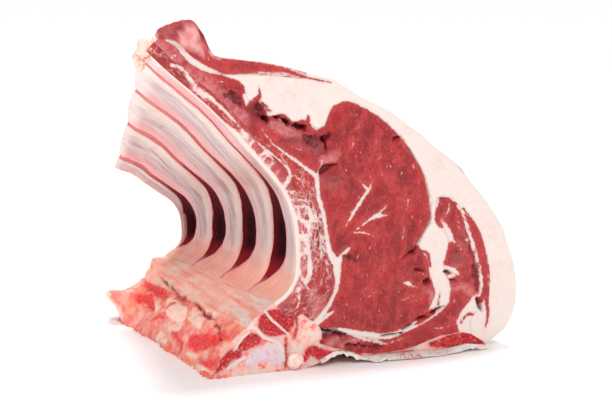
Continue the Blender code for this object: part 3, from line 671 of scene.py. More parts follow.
def add_mesh(name, points, squares, fields, finish, replaced):
    """Puts a piece into the scene. points are (x, depth, z) in mm in the section's frame, and fields are
    numbers for each point that its material reads. Nothing reaches below the floor."""
    points = np.maximum(points, (-np.inf, -np.inf, ORIGIN[2]))
    mesh = bpy.data.meshes.new(name)
    mesh.vertices.add(len(points))
    mesh.vertices.foreach_set("co", ((points - ORIGIN) * MM).astype(np.float32).ravel())
    mesh.loops.add(squares.size)
    mesh.loops.foreach_set("vertex_index", np.ascontiguousarray(squares, np.int32).ravel())
    mesh.polygons.add(len(squares))
    mesh.polygons.foreach_set("loop_start", np.arange(0, squares.size, squares.shape[1], dtype=np.int32))
    mesh.update(calc_edges=True)
    for field, values in fields.items():
        made = mesh.attributes.new(field, "FLOAT", "POINT")
        made.data.foreach_set("value", np.asarray(values, np.float32).ravel())
    mesh.shade_smooth()
    mesh.set_sharp_from_angle(angle=np.radians(SHARP_ANGLE))
    mesh.materials.append(finish)
    piece = bpy.data.objects.new(name, mesh)
    bpy.context.scene.collection.objects.link(piece)
    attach(piece, "root")
    if replaced:
        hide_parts(replaced)
    return piece


def stations(step):
    """Depths from cut to cut, close together near both cuts and step apart between them."""
    count = max(2, round((DEPTH - 2 * EVEN_FROM) / step))
    middle = np.linspace(EVEN_FROM, DEPTH - EVEN_FROM, count)
    return np.concatenate([NEAR_STATIONS, middle, DEPTH - NEAR_STATIONS[::-1]])


def loft(
    name, grid, relief, fields, finish, replaced="", step=6.0, far_grid=None, swell=None, paint=None
):
    """A piece through the rack: the grid of section places is carried along the backbone, and its two cut
    faces stand proud by relief, which dies out within FADE of them. swell gives, for the points, the
    distance that they move outwards, and paint gives further fields."""
    depths = stations(step)
    over, up = grid.shape[0] - 1, grid.shape[1] - 1
    (i, j, k), squares = shell((over, up, len(depths) - 1))
    depth = depths[k]
    section = grid[i, j]
    if far_grid is not None:
        share = smooth_step(depth, 0.0, FLAP_REACH)[:, None]
        section = section + (far_grid[i, j] - section) * share
    near, far = fade(depth), fade(DEPTH - depth)
    points = taper(section, depth)
    points[:, 1] += relief[i, j] * (far - near)
    values = {key: field[i, j] for key, field in fields.items()}
    values["skin"] = smooth_step(np.minimum(depth, DEPTH - depth), 0.0, SKIN_FROM)
    if "film" in values:
        values["skin"] = np.maximum(values["skin"], values.pop("film") * near)
    squares = outward(points, squares)
    if paint:
        values.update(paint(points, i / over, j / up, depth))
    if swell:
        amount = swell(points, i / over, j / up, depth)
        points = points + point_normals(points, squares) * amount[:, None]
    return add_mesh(name, points, squares, values, finish, replaced)


def fade(distance):
    """1 at a cut, falling to 0 at FADE mm from it."""
    return np.clip(1.0 - distance / FADE, 0.0, 1.0) ** 2


# Shaders ------------------------------------------------------------------------------------------


class Wire:
    """A socket that takes part in Python arithmetic, each operation adding its Math node."""

    def __init__(self, paint, socket):
        self.paint, self.socket = paint, socket

    def math(self, operation, *values):
        inputs = dict(enumerate(values))
        return self.paint.node("ShaderNodeMath", {"operation": operation}, inputs)

    def __add__(self, other):
        return self.math("ADD", self, other)

    def __sub__(self, other):
        return self.math("SUBTRACT", self, other)

    def __rsub__(self, other):
        return self.math("SUBTRACT", other, self)

    def __mul__(self, other):
        return self.math("MULTIPLY", self, other)

    def __pow__(self, other):
        return self.math("POWER", self, other)

    __radd__, __rmul__ = __add__, __mul__

    def least(self, other):
        return self.math("MINIMUM", self, other)

    def between(self, low, high):
        """0 below low, 1 above high, and an S between them. low may lie above high."""
        settings = {"interpolation_type": "SMOOTHSTEP", "clamp": True}
        flipped = low > high
        ends = {"Value": self, "From Min": min(low, high), "From Max": max(low, high)}
        made = self.paint.node("ShaderNodeMapRange", settings, ends)
        return 1 - made if flipped else made


class Paint:
    """The nodes of one material."""

    def __init__(self, name, constants):
        self.material = bpy.data.materials.new(name)
        self.material.use_nodes = True
        self.nodes = self.material.node_tree.nodes
        self.links = self.material.node_tree.links
        self.shader = self.nodes["Principled BSDF"]
        for socket, value in constants.items():
            self.shader.inputs[socket].default_value = value
        self.place = self.node("ShaderNodeTexCoord", {}, {}, "Object")

    def node(self, kind, settings, inputs, output=0):
        """A node with its settings, then its sockets' values or links."""
        made = self.nodes.new(kind)
        for key, value in settings.items():
            setattr(made, key, value)
        for key, value in inputs.items():
            if isinstance(value, Wire):
                self.links.new(value.socket, made.inputs[key])
            else:
                made.inputs[key].default_value = value
        return Wire(self, made.outputs[output])

    def field(self, name):
        """A number that the mesh holds for each of its points."""
        return self.node("ShaderNodeAttribute", {"attribute_name": name}, {}, "Fac")

    def placed(self, stretch=(1, 1, 1), seed=0.0):
        """Object coordinates in mm, squeezed by stretch, so that a pattern is drawn out along an axis."""
        size = tuple(1.0 / (MM * part) for part in stretch)
        inputs = {"Vector": self.place, "Scale": size, "Location": (seed, 1.7 * seed, 0.6 * seed)}
        return self.node("ShaderNodeMapping", {}, inputs)

    def noise(self, size, detail=2.0, stretch=(1, 1, 1), seed=0.0, roughness=0.5, place=None):
        """Noise from 0 to 1 with features of this size in mm."""
        inputs = {"Vector": place or self.placed(stretch, seed), "Scale": 1.0 / size, "Detail": detail}
        return self.node("ShaderNodeTexNoise", {}, {**inputs, "Roughness": roughness})

    def cells(self, size, feature="F1", stretch=(1, 1, 1), seed=0.0, warp=0.0, warp_size=4.0, place=None):
        """Distance pattern of scattered cells of this size in mm, bent by noise of warp mm."""
        place = place or self.placed(stretch, seed)
        if warp:
            inputs = {"Vector": place, "Scale": 1.0 / warp_size, "Detail": 3.0}
            shift = self.node("ShaderNodeTexNoise", {}, inputs, "Color")
            centred = {0: shift, 1: (0.5, 0.5, 0.5)}
            moved = self.node("ShaderNodeVectorMath", {"operation": "SUBTRACT"}, centred)
            bent = {0: moved, 1: (warp,) * 3, 2: place}
            place = self.node("ShaderNodeVectorMath", {"operation": "MULTIPLY_ADD"}, bent)
        inputs = {"Vector": place, "Scale": 1.0 / size}
        return self.node("ShaderNodeTexVoronoi", {"feature": feature}, inputs, "Distance")

    def mix(self, factor, first, second):
        """first where factor is 0 and second where it is 1. Both are colours."""
        settings = {"data_type": "RGBA", "clamp_factor": True}
        solid = [value if isinstance(value, Wire) else (*value, 1.0) for value in (first, second)]
        return self.node("ShaderNodeMix", settings, {0: factor, 6: solid[0], 7: solid[1]}, 2)

    def finish(self, base, roughness, height, coat=None, strength=1.0):
        """Wires the colour, the roughness and a bump from a height in mm into the shader."""
        scale = {"Strength": strength, "Distance": MM, "Height": height}
        bump = self.node("ShaderNodeBump", {}, scale)
        wanted = {"Base Color": base, "Roughness": roughness, "Normal": bump}
        if coat is not None:
            wanted["Coat Weight"] = coat
        for socket, value in wanted.items():
            self.links.new(value.socket, self.shader.inputs[socket])
        return self.material


WET_FLESH = {
    "Subsurface Weight": 0.25, "Subsurface Radius": (1.0, 0.22, 0.16), "Subsurface Scale": 0.0016,
    "Specular IOR Level": 0.3, "Coat Roughness": 0.14, "Coat IOR": 1.4,
}
SOFT_FAT = {
    "Subsurface Weight": 0.45, "Subsurface Radius": (1.0, 0.62, 0.5), "Subsurface Scale": 0.003,
    "IOR": 1.42, "Coat Roughness": 0.25, "Coat IOR": 1.35,
}


def fat_colour(paint, tones):
    """Cut fat: cream with faint pink stains, pinker where it is a thin seam."""
    stain = paint.noise(9.0, 3.0, seed=3.0).between(0.52, 0.74)
    fine = paint.noise(1.6, 3.0, seed=8.0).between(0.35, 0.7)
    thick = (paint.field("flesh") * -1).between(0.0, 1.0)
    plain = paint.mix(thick, tones.seam, tones.fat)
    return paint.mix(stain * fine * 0.5, plain, tones.blush)


def flesh_colour(paint, tones, flesh):
    """Cut muscle: mottled red with fine fibre ends, brighter along its rim."""
    broad = paint.noise(13.0, 2.0, seed=1.0).between(0.3, 0.72)
    middle = paint.noise(3.2, 4.0, stretch=(1.0, 1.0, 1.6), seed=5.0, roughness=0.62)
    fibre = paint.noise(0.8, 3.0, stretch=(1.0, 1.0, 1.5), seed=2.0, roughness=0.7)
    rim = flesh.between(2.6, 0.3)
    tone = paint.mix(broad, tones.meat, tones.deep)
    tone = paint.mix(middle.between(0.4, 0.66) * 0.6, tone, tones.bright)
    tone = paint.mix(rim * 0.45, tone, tones.bright)
    film = paint.noise(1.6, 4.0, stretch=(1.6, 1.0, 1.0), seed=6.0, roughness=0.65).between(0.3, 0.66)
    tone = paint.mix(paint.field("flush") * (film * 0.42 + 0.12), tone, tones.film)
    tone = paint.mix(fibre.between(0.5, 0.28) * 0.5, tone, tones.deep)
    return paint.mix(fibre.between(0.52, 0.74) * 0.45, tone, tones.pale_fibre)


def fat_net(paint, edge):
    """Fine threads of fat in the strip beside the ribs, drawn out along it, taken out of the muscle
    edge. The threads are the ridges of a noise and the borders of bent cells."""
    along = paint.field("up") * 0.5
    place = paint.node("ShaderNodeCombineXYZ", {}, {"X": paint.field("over"), "Y": along})
    cells = paint.cells(2.2, "DISTANCE_TO_EDGE", warp=3.0, warp_size=2.2, place=place) * 2.2
    vein = paint.noise(2.0, 4.0, roughness=0.6, place=place) - 0.5
    ridge = (vein * vein) ** 0.5 * 9.0
    uneven = paint.noise(3.4, 2.0, place=place, seed=9.0).between(0.4, 0.8)
    width = uneven * paint.field("web")
    return edge.least((cells - width * 0.5) * 1.5).least((ridge - width * 0.9) * 1.5)


def cut_material(name, tones, web=False, skin_tone=None, torn_edge=1.5):
    """The look of a cut through flesh and fat. Where the field flesh is above 0 it is muscle, and below 0
    fat; web adds a net of fat; away from the cuts it turns to skin_tone."""
    paint = Paint(name, WET_FLESH)
    flesh = paint.field("flesh")
    ragged = (paint.noise(1.3, 3.0, seed=11.0, roughness=0.6) - 0.5) * torn_edge
    edge = flesh + ragged
    if web:
        edge = fat_net(paint, edge)
    # Pale flecks and spots of fat and fibre ends; the spots also stand in for tiny painted glints on the
    # wet flesh
    flecks = paint.noise(1.5, 2.0, stretch=(1.0, 1.0, 2.2), seed=21.0).between(0.7, 0.77)
    specks_and_glints = paint.cells(2.3, "F1", (1.0, 1.0, 1.8), 23.0, warp=1.0, warp_size=1.2).between(0.15, 0.07)
    specks_and_glints = specks_and_glints * paint.noise(7.0, 2.0, seed=25.0).between(0.46, 0.56)
    meat = flesh_colour(paint, tones, flesh)
    meat = paint.mix((flecks + specks_and_glints * 0.7) * 0.45, meat, tones.seam)
    is_meat = edge.between(-0.24, 0.3)
    base = paint.mix(is_meat, fat_colour(paint, tones), meat)
    # Painted shade: the depth of slits and the deepest torn hollows take the shade colour; the torn tone
    # itself is dried flesh
    painted_shade, torn = paint.field("painted_shade"), paint.field("torn")
    shred = (paint.noise(1.4, 4.0, seed=31.0, roughness=0.65) - 0.5) * 1.2
    base = paint.mix((torn + shred).between(0.1, 1.0) * torn.between(0.0, 0.3) * 0.85, base, tones.torn)
    base = paint.mix((torn + shred).between(0.95, 1.35) * 0.5, base, tones.painted_shade)
    base = paint.mix((painted_shade + shred * 0.4).between(0.2, 0.9) * 0.78, base, tones.painted_shade)
    if skin_tone is not None:
        base = paint.mix(paint.field("skin"), base, skin_tone(paint))
    fibre = paint.noise(0.7, 3.0, stretch=(1.0, 1.0, 2.2), seed=2.0, roughness=0.75)
    lumps = paint.noise(2.4, 3.0, seed=41.0)
    shine = paint.field("wet")
    height = fibre * (0.34 + shine * 0.8) + lumps * 0.5 + is_meat * 0.2
    gloss = 0.42 + (fibre - 0.5) * 0.5 - shine * 0.24 + (1 - is_meat) * 0.08
    coat = 0.1 + shine * 0.8 + lumps.between(0.52, 0.7) * 0.35
    return paint.finish(base, gloss, height, coat, 0.75)


def outer_fat(tones):
    """Outside of the fat: cream with soft pink patches and a few thin red threads."""

    def tone(paint):
        patch_of_pink = paint.noise(17.0, 4.0, seed=51.0, roughness=0.6).between(0.5, 0.78)
        fine = paint.noise(2.2, 4.0, seed=53.0, roughness=0.65).between(0.36, 0.72)
        threads = paint.cells(9.0, "DISTANCE_TO_EDGE", (1.0, 1.6, 1.0), 57.0, warp=9.0, warp_size=6.0)
        red = threads.between(0.035, 0.0) * paint.noise(12.0, 2.0, seed=59.0).between(0.52, 0.6)
        warm = paint.mix(patch_of_pink * fine * 0.5, tones.skin, tones.blush)
        return paint.mix(red * 0.35, warm, tones.rib_flush)

    return tone


def red_skin(tones):
    """Outside of a muscle under a thin film: red seen through pale patches."""

    def tone(paint):
        film = paint.noise(5.0, 4.0, (1.0, 2.6, 1.0), 61.0, 0.6).between(0.36, 0.66)
        strands = paint.noise(2.0, 3.0, (1.0, 4.0, 1.0), 63.0).between(0.35, 0.7)
        under = paint.mix(strands, tones.meat, tones.bright)
        return paint.mix(film * 0.85, under, tones.seam)

    return tone


def lilac_skin(tones):
    """Film on the flap and the top muscle: lilac on the curl, turning to pale fat along the back."""

    def tone(paint):
        pale = paint.field("pale")
        mottle = paint.noise(1.4, 3.0, seed=71.0, roughness=0.6).between(0.3, 0.75)
        streak = paint.noise(3.0, 3.0, (1.0, 2.5, 1.0), 73.0).between(0.35, 0.7)
        lilac = paint.mix(mottle * 0.5, tones.film, tones.seam)
        lilac = paint.mix(streak * 0.4, lilac, tones.bright)
        patches = paint.noise(6.0, 4.0, seed=75.0).between(0.5, 0.8)
        cream = paint.mix(patches * 0.5, tones.skin, tones.blush)
        return paint.mix(pale, lilac, cream)

    return tone


def bone_material(name, tones):
    """Sawn bone, its marrow and cortex on the cut ends, and torn bloody bone on the sawn face."""
    paint = Paint(name, {**WET_FLESH, "Subsurface Radius": (1.0, 0.4, 0.3)})
    ragged = (paint.noise(1.2, 3.0, seed=13.0, roughness=0.6) - 0.5) * 1.4
    marrow = (paint.field("marrow") + ragged).between(-0.5, 0.6)
    cortex = (paint.field("cortex") + ragged * 0.35).between(-0.2, 0.15)
    bluish = (paint.field("cartilage") + ragged).between(-0.4, 0.6)
    pores = paint.cells(0.75, "F1", (1.0, 1.0, 1.0), 15.0, warp=1.0)
    spongy = paint.mix(pores.between(0.3, 0.66) * 0.75, tones.marrow, tones.deep)
    threads = paint.noise(1.1, 3.0, seed=17.0, roughness=0.7).between(0.52, 0.72)
    spongy = paint.mix(threads * 0.5, spongy, tones.bone)
    stain = paint.noise(3.4, 5.0, seed=19.0, roughness=0.65)
    plain = paint.mix(stain.between(0.36, 0.56) * 0.8, tones.fat, tones.bone)
    plain = paint.mix(stain.between(0.52, 0.66) * 0.85, plain, tones.bone_red)
    plain = paint.mix((paint.field("marrow") + ragged).between(-2.6, 0.2) * 0.5, plain, tones.rib_flush)
    cut = paint.mix(bluish * (0.95 - stain.between(0.45, 0.65) * 0.45), plain, tones.cartilage)
    cut = paint.mix(marrow, cut, spongy)
    cut = paint.mix(cortex, cut, tones.fat)

    level = paint.field("level")
    broad = paint.noise(11.0, 3.0, (1.0, 1.0, 1.3), 23.0)
    red = paint.noise(3.6, 5.0, (1.0, 1.0, 1.7), 25.0, 0.66)
    strings = paint.noise(1.2, 4.0, (1.0, 1.0, 3.0), 27.0, 0.7)
    flow = paint.noise(2.2, 4.0, (1.0, 10.0, 1.0), 29.0, 0.65)
    torn = paint.mix(broad.between(0.4, 0.62), tones.bone, tones.salmon)
    torn = paint.mix(red.between(0.42, 0.6) * 0.85, torn, tones.raw_bone)
    lump = (paint.field("lump") + ragged).between(-0.8, 0.6)
    torn = paint.mix(lump * (0.5 + red * 0.5), torn, tones.pale_bone)
    blood = (paint.field("blood") + ragged * 1.4).between(-1.0, 0.9)
    torn = paint.mix(blood * 0.95, torn, tones.bone_red)
    torn = paint.mix((red - blood * 0.05).between(0.6, 0.72) * 0.8, torn, tones.bone_red)
    torn = paint.mix(strings.between(0.58, 0.74) * 0.5, torn, tones.pale_bone)
    torn = paint.mix(pores.between(0.4, 0.16) * blood * 0.4, torn, tones.fat)
    fatty = paint.mix(0.55 + broad.between(0.4, 0.62) * 0.45, tones.pale_bone, tones.bone)
    fatty = paint.mix(paint.field("near") * (0.5 + broad * 0.5), fatty, tones.fat)
    fatty = paint.mix(flow.between(0.5, 0.62) * 0.75, fatty, tones.salmon)
    sawn = paint.mix((level + (broad - 0.5) * 0.14).between(0.585, 0.625), torn, fatty)
    crack = paint.field("crack")
    broken = red.between(0.4, 0.56)
    sawn = paint.mix((crack + ragged * 0.9).between(-0.2, 0.8) * (0.2 + broken * 0.6), sawn, tones.deep)
    base = paint.mix(paint.field("skin"), cut, sawn)
    height = strings * 0.6 + pores * marrow * 0.5 + red * 0.8
    gloss = 0.36 + (strings - 0.5) * 0.3
    return paint.finish(base, gloss, height, 0.2 + red.between(0.5, 0.7) * 0.4, 0.7)


def tissue_material(tones):
    """White connective tissue, stained with pink and red."""
    paint = Paint("torn_tissue", SOFT_FAT)
    stain = paint.noise(5.0, 4.0, seed=101.0, roughness=0.6)
    fine = paint.noise(0.9, 3.0, (2.5, 1.0, 1.0), 103.0, 0.65)
    spot = paint.noise(2.2, 3.0, seed=105.0, roughness=0.6)
    base = paint.mix(stain.between(0.42, 0.6) * 0.7, tones.clean_tissue, tones.pale_bone)
    base = paint.mix(spot.between(0.5, 0.64) * 0.5, base, tones.bone)
    base = paint.mix(paint.field("blood") * 0.6, base, tones.bone)
    base = paint.mix(stain.between(0.54, 0.64) * spot.between(0.42, 0.54) * 0.8, base, tones.bone_red)
    return paint.finish(base, 0.4 + (fine - 0.5) * 0.3, fine * 0.3 + spot * 0.4, 0.25 + fine * 0.2, 0.6)


def rib_material(tones):
    """A rib under its shiny film: cream at the near border, partly a painted highlight along its ridge,
    mauve in the middle, pink at the far border, with long faint streaks. It is painted paler higher up as
    painted light, and the far ribs are painted darker low down as painted shade. The near end of the first
    rib shows the cut."""
    film = {**WET_FLESH, "Subsurface Radius": (1.0, 0.5, 0.45), "Subsurface Scale": 0.002}
    paint = Paint("rib_film", film)
    across, along = paint.field("across"), paint.field("along")
    wobble = (paint.noise(5.0, 3.0, seed=81.0) - 0.5) * 0.16
    at = 1 - across + wobble
    streak = paint.node(
        "ShaderNodeTexNoise", {},
        {"Vector": streak_place(paint), "Scale": 1.0, "Detail": 4.0, "Roughness": 0.6},
    )
    # Painted light and shade: the film is painted paler higher up the rib and deeper in tone lower down
    high = (along + wobble).between(0.25, 0.8)
    body = paint.mix(streak.between(0.35, 0.68) * (0.35 + high * 0.3), tones.rib, tones.rib_edge_and_highlight)
    # Painted shade on the lower middle of the far ribs
    body = paint.mix(paint.field("number").between(0.0, 3.0) * (1 - high) * 0.45, body, tones.rib_shade)
    first = paint.field("number").between(0.6, 0.0)
    body = paint.mix(first * high * 0.55, body, tones.rib_flush)
    body = paint.mix(at.between(0.5, 0.1) * 0.9, body, tones.rib_flush)
    body = paint.mix(at.between(0.08, 0.0) * 0.7, body, tones.meat)
    # Pale near border: partly the rib's own colour, partly a painted highlight along its ridge
    body = paint.mix(at.between(0.68, 0.88) * (0.75 + high * 0.25), body, tones.rib_edge_and_highlight)
    body = paint.mix(at.between(0.955, 1.0) * 0.7, body, tones.rib_flush)
    root = (along + wobble * 0.6).between(0.2, 0.05)
    fatty = paint.mix(streak.between(0.45, 0.7) * 0.6, tones.bone, tones.salmon)
    body = paint.mix(root * 0.9, body, fatty)
    tip = (along + wobble * 0.4).between(0.88, 0.98)
    body = paint.mix(tip * 0.8, body, tones.fat)
    spots = paint.noise(3.4, 2.0, seed=87.0).between(0.7, 0.76)
    body = paint.mix(spots * 0.4, body, tones.bright)

    flesh = paint.field("flesh")
    edge = fat_net(paint, flesh + (paint.noise(1.3, 3.0, seed=11.0) - 0.5) * 1.1)
    cut = paint.mix(edge.between(-0.24, 0.3), fat_colour(paint, tones), flesh_colour(paint, tones, flesh))
    cut = paint.mix(paint.field("torn") * 0.7, cut, tones.deep)
    base = paint.mix(paint.field("skin"), cut, body)
    fine = paint.noise(0.9, 3.0, seed=89.0)
    gloss = 0.36 + (fine - 0.5) * 0.25
    return paint.finish(base, gloss, streak * 0.35 + fine * 0.12, 0.4 + fine * 0.2, 0.5)


def streak_place(paint):
    """Coordinates that run with the wall: across the rib finely, along it slowly."""
    wide = paint.field("across") * 7.0
    slow = paint.field("along") * 5.0
    number = paint.field("number") * 3.7
    return paint.node("ShaderNodeCombineXYZ", {}, {"X": wide, "Y": slow, "Z": number})


def space_material(tones):
    """Muscle seen between two ribs, with painted shade: nearly black where the space is wide and deep,
    crimson at its root and pink where it is narrow."""
    paint = Paint("rib_space_flesh_and_shade", {**WET_FLESH, "Specular IOR Level": 0.06, "Subsurface Weight": 0.1})
    along, across = paint.field("along"), paint.field("across")
    fibre = paint.noise(0.9, 4.0, (1.0, 1.0, 3.0), 91.0, 0.65)
    wide = along.between(0.56, 0.32)
    thin = paint.mix(along.between(0.6, 0.9) * 0.85, tones.space_thin, tones.rib_flush)
    # Painted shade over the wide, deep part of the space
    tone = paint.mix(wide, thin, tones.space)
    # Painted shade, nearly black, in the deepest part of the space
    tone = paint.mix(along.between(0.08, 0.15) * along.between(0.36, 0.22), tone, tones.pit_shade)
    tone = paint.mix(along.between(0.16, 0.09) * 0.85, tone, tones.crimson)
    tone = paint.mix(fibre.between(0.5, 0.75) * 0.25, tone, tones.meat)
    rim = across.between(0.16, 0.0) + across.between(0.84, 1.0)
    tone = paint.mix(rim * 0.3, tone, tones.meat)
    tone = paint.mix(along.between(0.08, 0.03) * 0.7, tone, tones.film)
    return paint.finish(tone, 0.6 + (fibre - 0.5) * 0.3, fibre * 0.4, fibre * 0.05, 0.5)


# Pieces -------------------------------------------------------------------------------------------

SEAMS_WITH_FAT = [EYE_TOP, EYE_RIGHT_HIGH, EYE_RIGHT_LOW, RAGGED, BAND_UNDER, CAP_INSIDE, CAP_OUTSIDE,
                  LOIN_BELOW, LOIN_RIGHT]


class Cut:
    """The fields and the relief of a cut face, worked out once for the grid of a piece: muscles swell
    between their seams, and slits and torn flesh lie back."""

    def __init__(self, grid, sizes, is_meat):
        borders = inside_of(grid, [flat_run(run) for run in SEAMS_WITH_FAT])
        high = smooth_step(grid[..., 1], 60.0, 72.0)
        lines = inside_of(grid, WHITE_LINES + STRIP_SEAM + STRIP_VEINS) - 0.2 - 0.15 * high
        lines = np.maximum(lines, inside_of(grid, MARBLING) - 0.27)
        lines = np.maximum(lines, inside_of(grid, FAT_IN_MEAT))
        if is_meat:
            flesh = np.minimum(-borders, -lines)
            flesh = np.minimum(flesh, -inside_of(grid, TRIANGLE_FAT))
            flesh = np.maximum(flesh, inside_of(grid, TRIANGLE_RED))
        else:
            flesh = np.maximum(borders, inside_of(grid, OUTER_STRIP + MEAT_IN_FAT))
        slit, torn, wet = (inside_of(grid, strokes) for strokes in (SLITS_AND_SHADOW_LINES, DARK_FLESH, WET))
        places = flat_places(grid)
        shape = grid.shape[:2]
        uneven = rough(places, 7.0, 4, 2).reshape(shape)
        grain = rough(places, 1.3, 2, 6).reshape(shape)
        # Slits lie back and their depth is painted as shade; the strokes along the eye's rim are painted
        # shadow lines, grooved as well
        slit_and_shade_at = smooth_step(slit + 0.3 * grain, -0.5, 0.7)
        torn_at = smooth_step(torn + 0.8 * uneven + 0.3 * grain, -0.9, 1.1)
        bulge = sizes.bulge / MM * (1.0 - np.exp(-np.maximum(flesh, 0.0) / 2.6))
        self.relief = bulge + 0.28 * uneven + 0.08 * grain
        self.relief -= sizes.slit / MM * slit_and_shade_at
        self.relief -= sizes.torn / MM * torn_at * (1.0 + 0.9 * grain)
        self.fields = {
            "flesh": np.clip(flesh, -6.0, 6.0),
            "painted_shade": slit_and_shade_at,
            "torn": torn_at,
            "wet": smooth_step(wet, -1.5, 1.5),
            "flush": smooth_step(inside_of(grid, FLUSHED) + 0.6 * uneven, -1.4, 1.0),
        }


def tones():
    """The colours that the panel shows."""
    return bpy.context.scene.lamb_colours


def sizes():
    """The sizes that the panel shows."""
    return bpy.context.scene.lamb_sizes


def grain():
    """The distance between points of a cut face, in mm."""
    return sizes().grain / MM


def wall_lines(count):
    """The inside and the outside of the rib wall, root to tip, as count + 1 pairs of facing points."""
    inside = even(dense(INSIDE_OF_RIBS), count)
    along = np.gradient(inside, axis=0)
    along /= np.linalg.norm(along, axis=1)[:, None]
    facing = np.column_stack([along[:, 1], -along[:, 0]])
    return inside, inside + facing * np.linspace(WALL, WALL_AT_TIPS, count + 1)[:, None]


def wall_split():
    """The outside of the wall in two runs, below and above the place where the upper seam meets it."""
    outside = wall_lines(WALL_COUNT)[1]
    at = int(np.argmin(np.linalg.norm(outside - SEAM_UP[0], axis=1)))
    return outside[: at + 1], outside[at:]


def line(*points):
    """A straight or angled line as an array of its points."""
    return np.array(points, float)


def web_width(places):
    """Half width in mm of the fat net in the marbled strip: finest low down, widest half way up."""
    high = places[:, 1]
    return 1.6 * smooth_step(high, 36.0, 46.0) - 2.1 * smooth_step(high, 60.0, 70.0) - 0.5


class LAMB_OT_muscles(bpy.types.Operator):
    """Builds the six muscles that the cut face shows"""

    bl_idname = "lamb.muscles"
    bl_label = "Muscles"

    def execute(self, context):
        low_wall, high_wall = wall_split()
        seam_up = joined(low_wall[-1:], dense(SEAM_UP)[6:])
        nudge = low_wall[-1] + (0.25, 0.15)
        meat = cut_material("cut_meat", tones(), skin_tone=red_skin(tones()))
        eye = patch(
            joined(dense(EYE_LEFT), dense(EYE_INSIDE)),
            joined(dense(EYE_RIGHT_LOW), dense(EYE_RIGHT_HIGH)),
            dense(EYE_UNDER), dense(EYE_TOP), grain(),
        )
        self.add("eye_muscle", eye, meat, "red_meat")
        loin = patch(
            joined(line(LOIN_FOOT[1], LOIN_FOOT[0]), dense(SEAM_LOW)), dense(LOIN_RIGHT),
            dense(LOIN_BELOW), dense(EYE_UNDER), grain(),
        )
        self.add("loin_muscle", loin, meat, "red_meat")
        cap = patch(
            dense(CAP_INSIDE), joined(dense(FEATHER_TOP), dense(CAP_OUTSIDE)[::-1]),
            line(CAP_INSIDE[0], FEATHER_TOP[0]), line(CAP_INSIDE[-1], CAP_OUTSIDE[0]), grain(),
        )
        self.add("cap_muscle", cap, meat, "red_meat")
        inner = patch(
            low_wall, joined(dense(SEAM_LOW), dense(EYE_LEFT), dense(SEAM_UP)[:5:-1], nudge[None]),
            joined(low_wall[:1], dense(CONNECTIVE_TOP)), line(low_wall[-1], nudge), grain(),
        )
        marbled = cut_material("marbled_meat", tones(), web=True, skin_tone=red_skin(tones()))
        over = np.linalg.norm(inner - inner[:1], axis=-1)
        up = np.broadcast_to(reach(even(low_wall, inner.shape[1] - 1)), over.shape)
        web = web_width(inner.reshape(-1, 2)).reshape(over.shape)
        self.add("inner_muscle", inner, marbled, "marbled_meat", {"web": web, "over": over, "up": up})
        flat = patch(
            joined(seam_up[::-1], high_wall), joined(dense(RAGGED), dense(FLAP_UNDER)),
            dense(EYE_INSIDE), joined(high_wall[-1:], line(*TIP_BLOCK)), grain(),
        )
        self.add("flat_muscle", flat, meat, "red_meat")
        self.top_muscle()
        return {"FINISHED"}

    def add(self, name, grid, finish, slot, more=None):
        """One muscle, with any more fields that its material reads."""
        cut = Cut(grid, sizes(), True)
        fields = {**cut.fields, **(more or {})}
        return loft("raw_" + name, grid, cut.relief, fields, finish, name)

    def top_muscle(self):
        """The thin muscle on top of the fat, which ends in a flap that curls up at the near cut."""
        under = joined(dense(BAND_UNDER), dense(FLAP_UNDER))
        end = line(BAND_UNDER[0], BAND_OVER[0])
        last = line(FLAP_UNDER[-1], FLAP_CURLED[-1])
        curled = patch(under, joined(dense(BAND_OVER), dense(FLAP_CURLED)), end, last, grain())
        level = patch(under, joined(dense(BAND_OVER), dense(FLAP_FLAT)), end, last, grain())
        level = np.stack([even(row, curled.shape[1] - 1) for row in level])
        cut = Cut(curled, sizes(), True)
        pale = smooth_step(curled[..., 0], -2.0, 12.0)
        red = np.maximum(inside_of(curled, BAND_RED), smooth_step(curled[..., 0], 1.0, -3.0) * 3.0)
        flesh = np.minimum(cut.fields["flesh"], np.where(curled[..., 0] > -3.0, red, 9.0))
        film = inside_of(curled, FLAP_FILM)
        rim = smooth_step(inside_of(curled, FLAP_LINE), -0.5, 0.5)
        fields = {
            **cut.fields, "flesh": flesh, "pale": pale,
            "film": smooth_step(film, -0.6, 0.8) * (1.0 - rim),
            "flush": smooth_step(curled[..., 0], -9.0, -13.0) * 0.4,
        }
        cut.relief += 0.9 * smooth_step(film, -1.0, 3.0) - 0.6 * rim
        finish = cut_material("flap_meat", tones(), skin_tone=lilac_skin(tones()), torn_edge=0.7)

        def swell(points, u, v, depth):
            """Unevenness of the upper side, coarser on the curled flap."""
            flap = smooth_step(points[:, 0], 0.0, -8.0) * smooth_step(depth, 30.0, 10.0)
            uneven = 0.35 * rough(points, 5.0, 3, 14) + flap * 0.5 * rough(points, 2.4, 3, 15)
            return uneven * smooth_step(v, 0.0, 0.15)

        name = "top_muscle"
        loft("raw_" + name, curled, cut.relief, fields, finish, name, 1.6, level, swell)


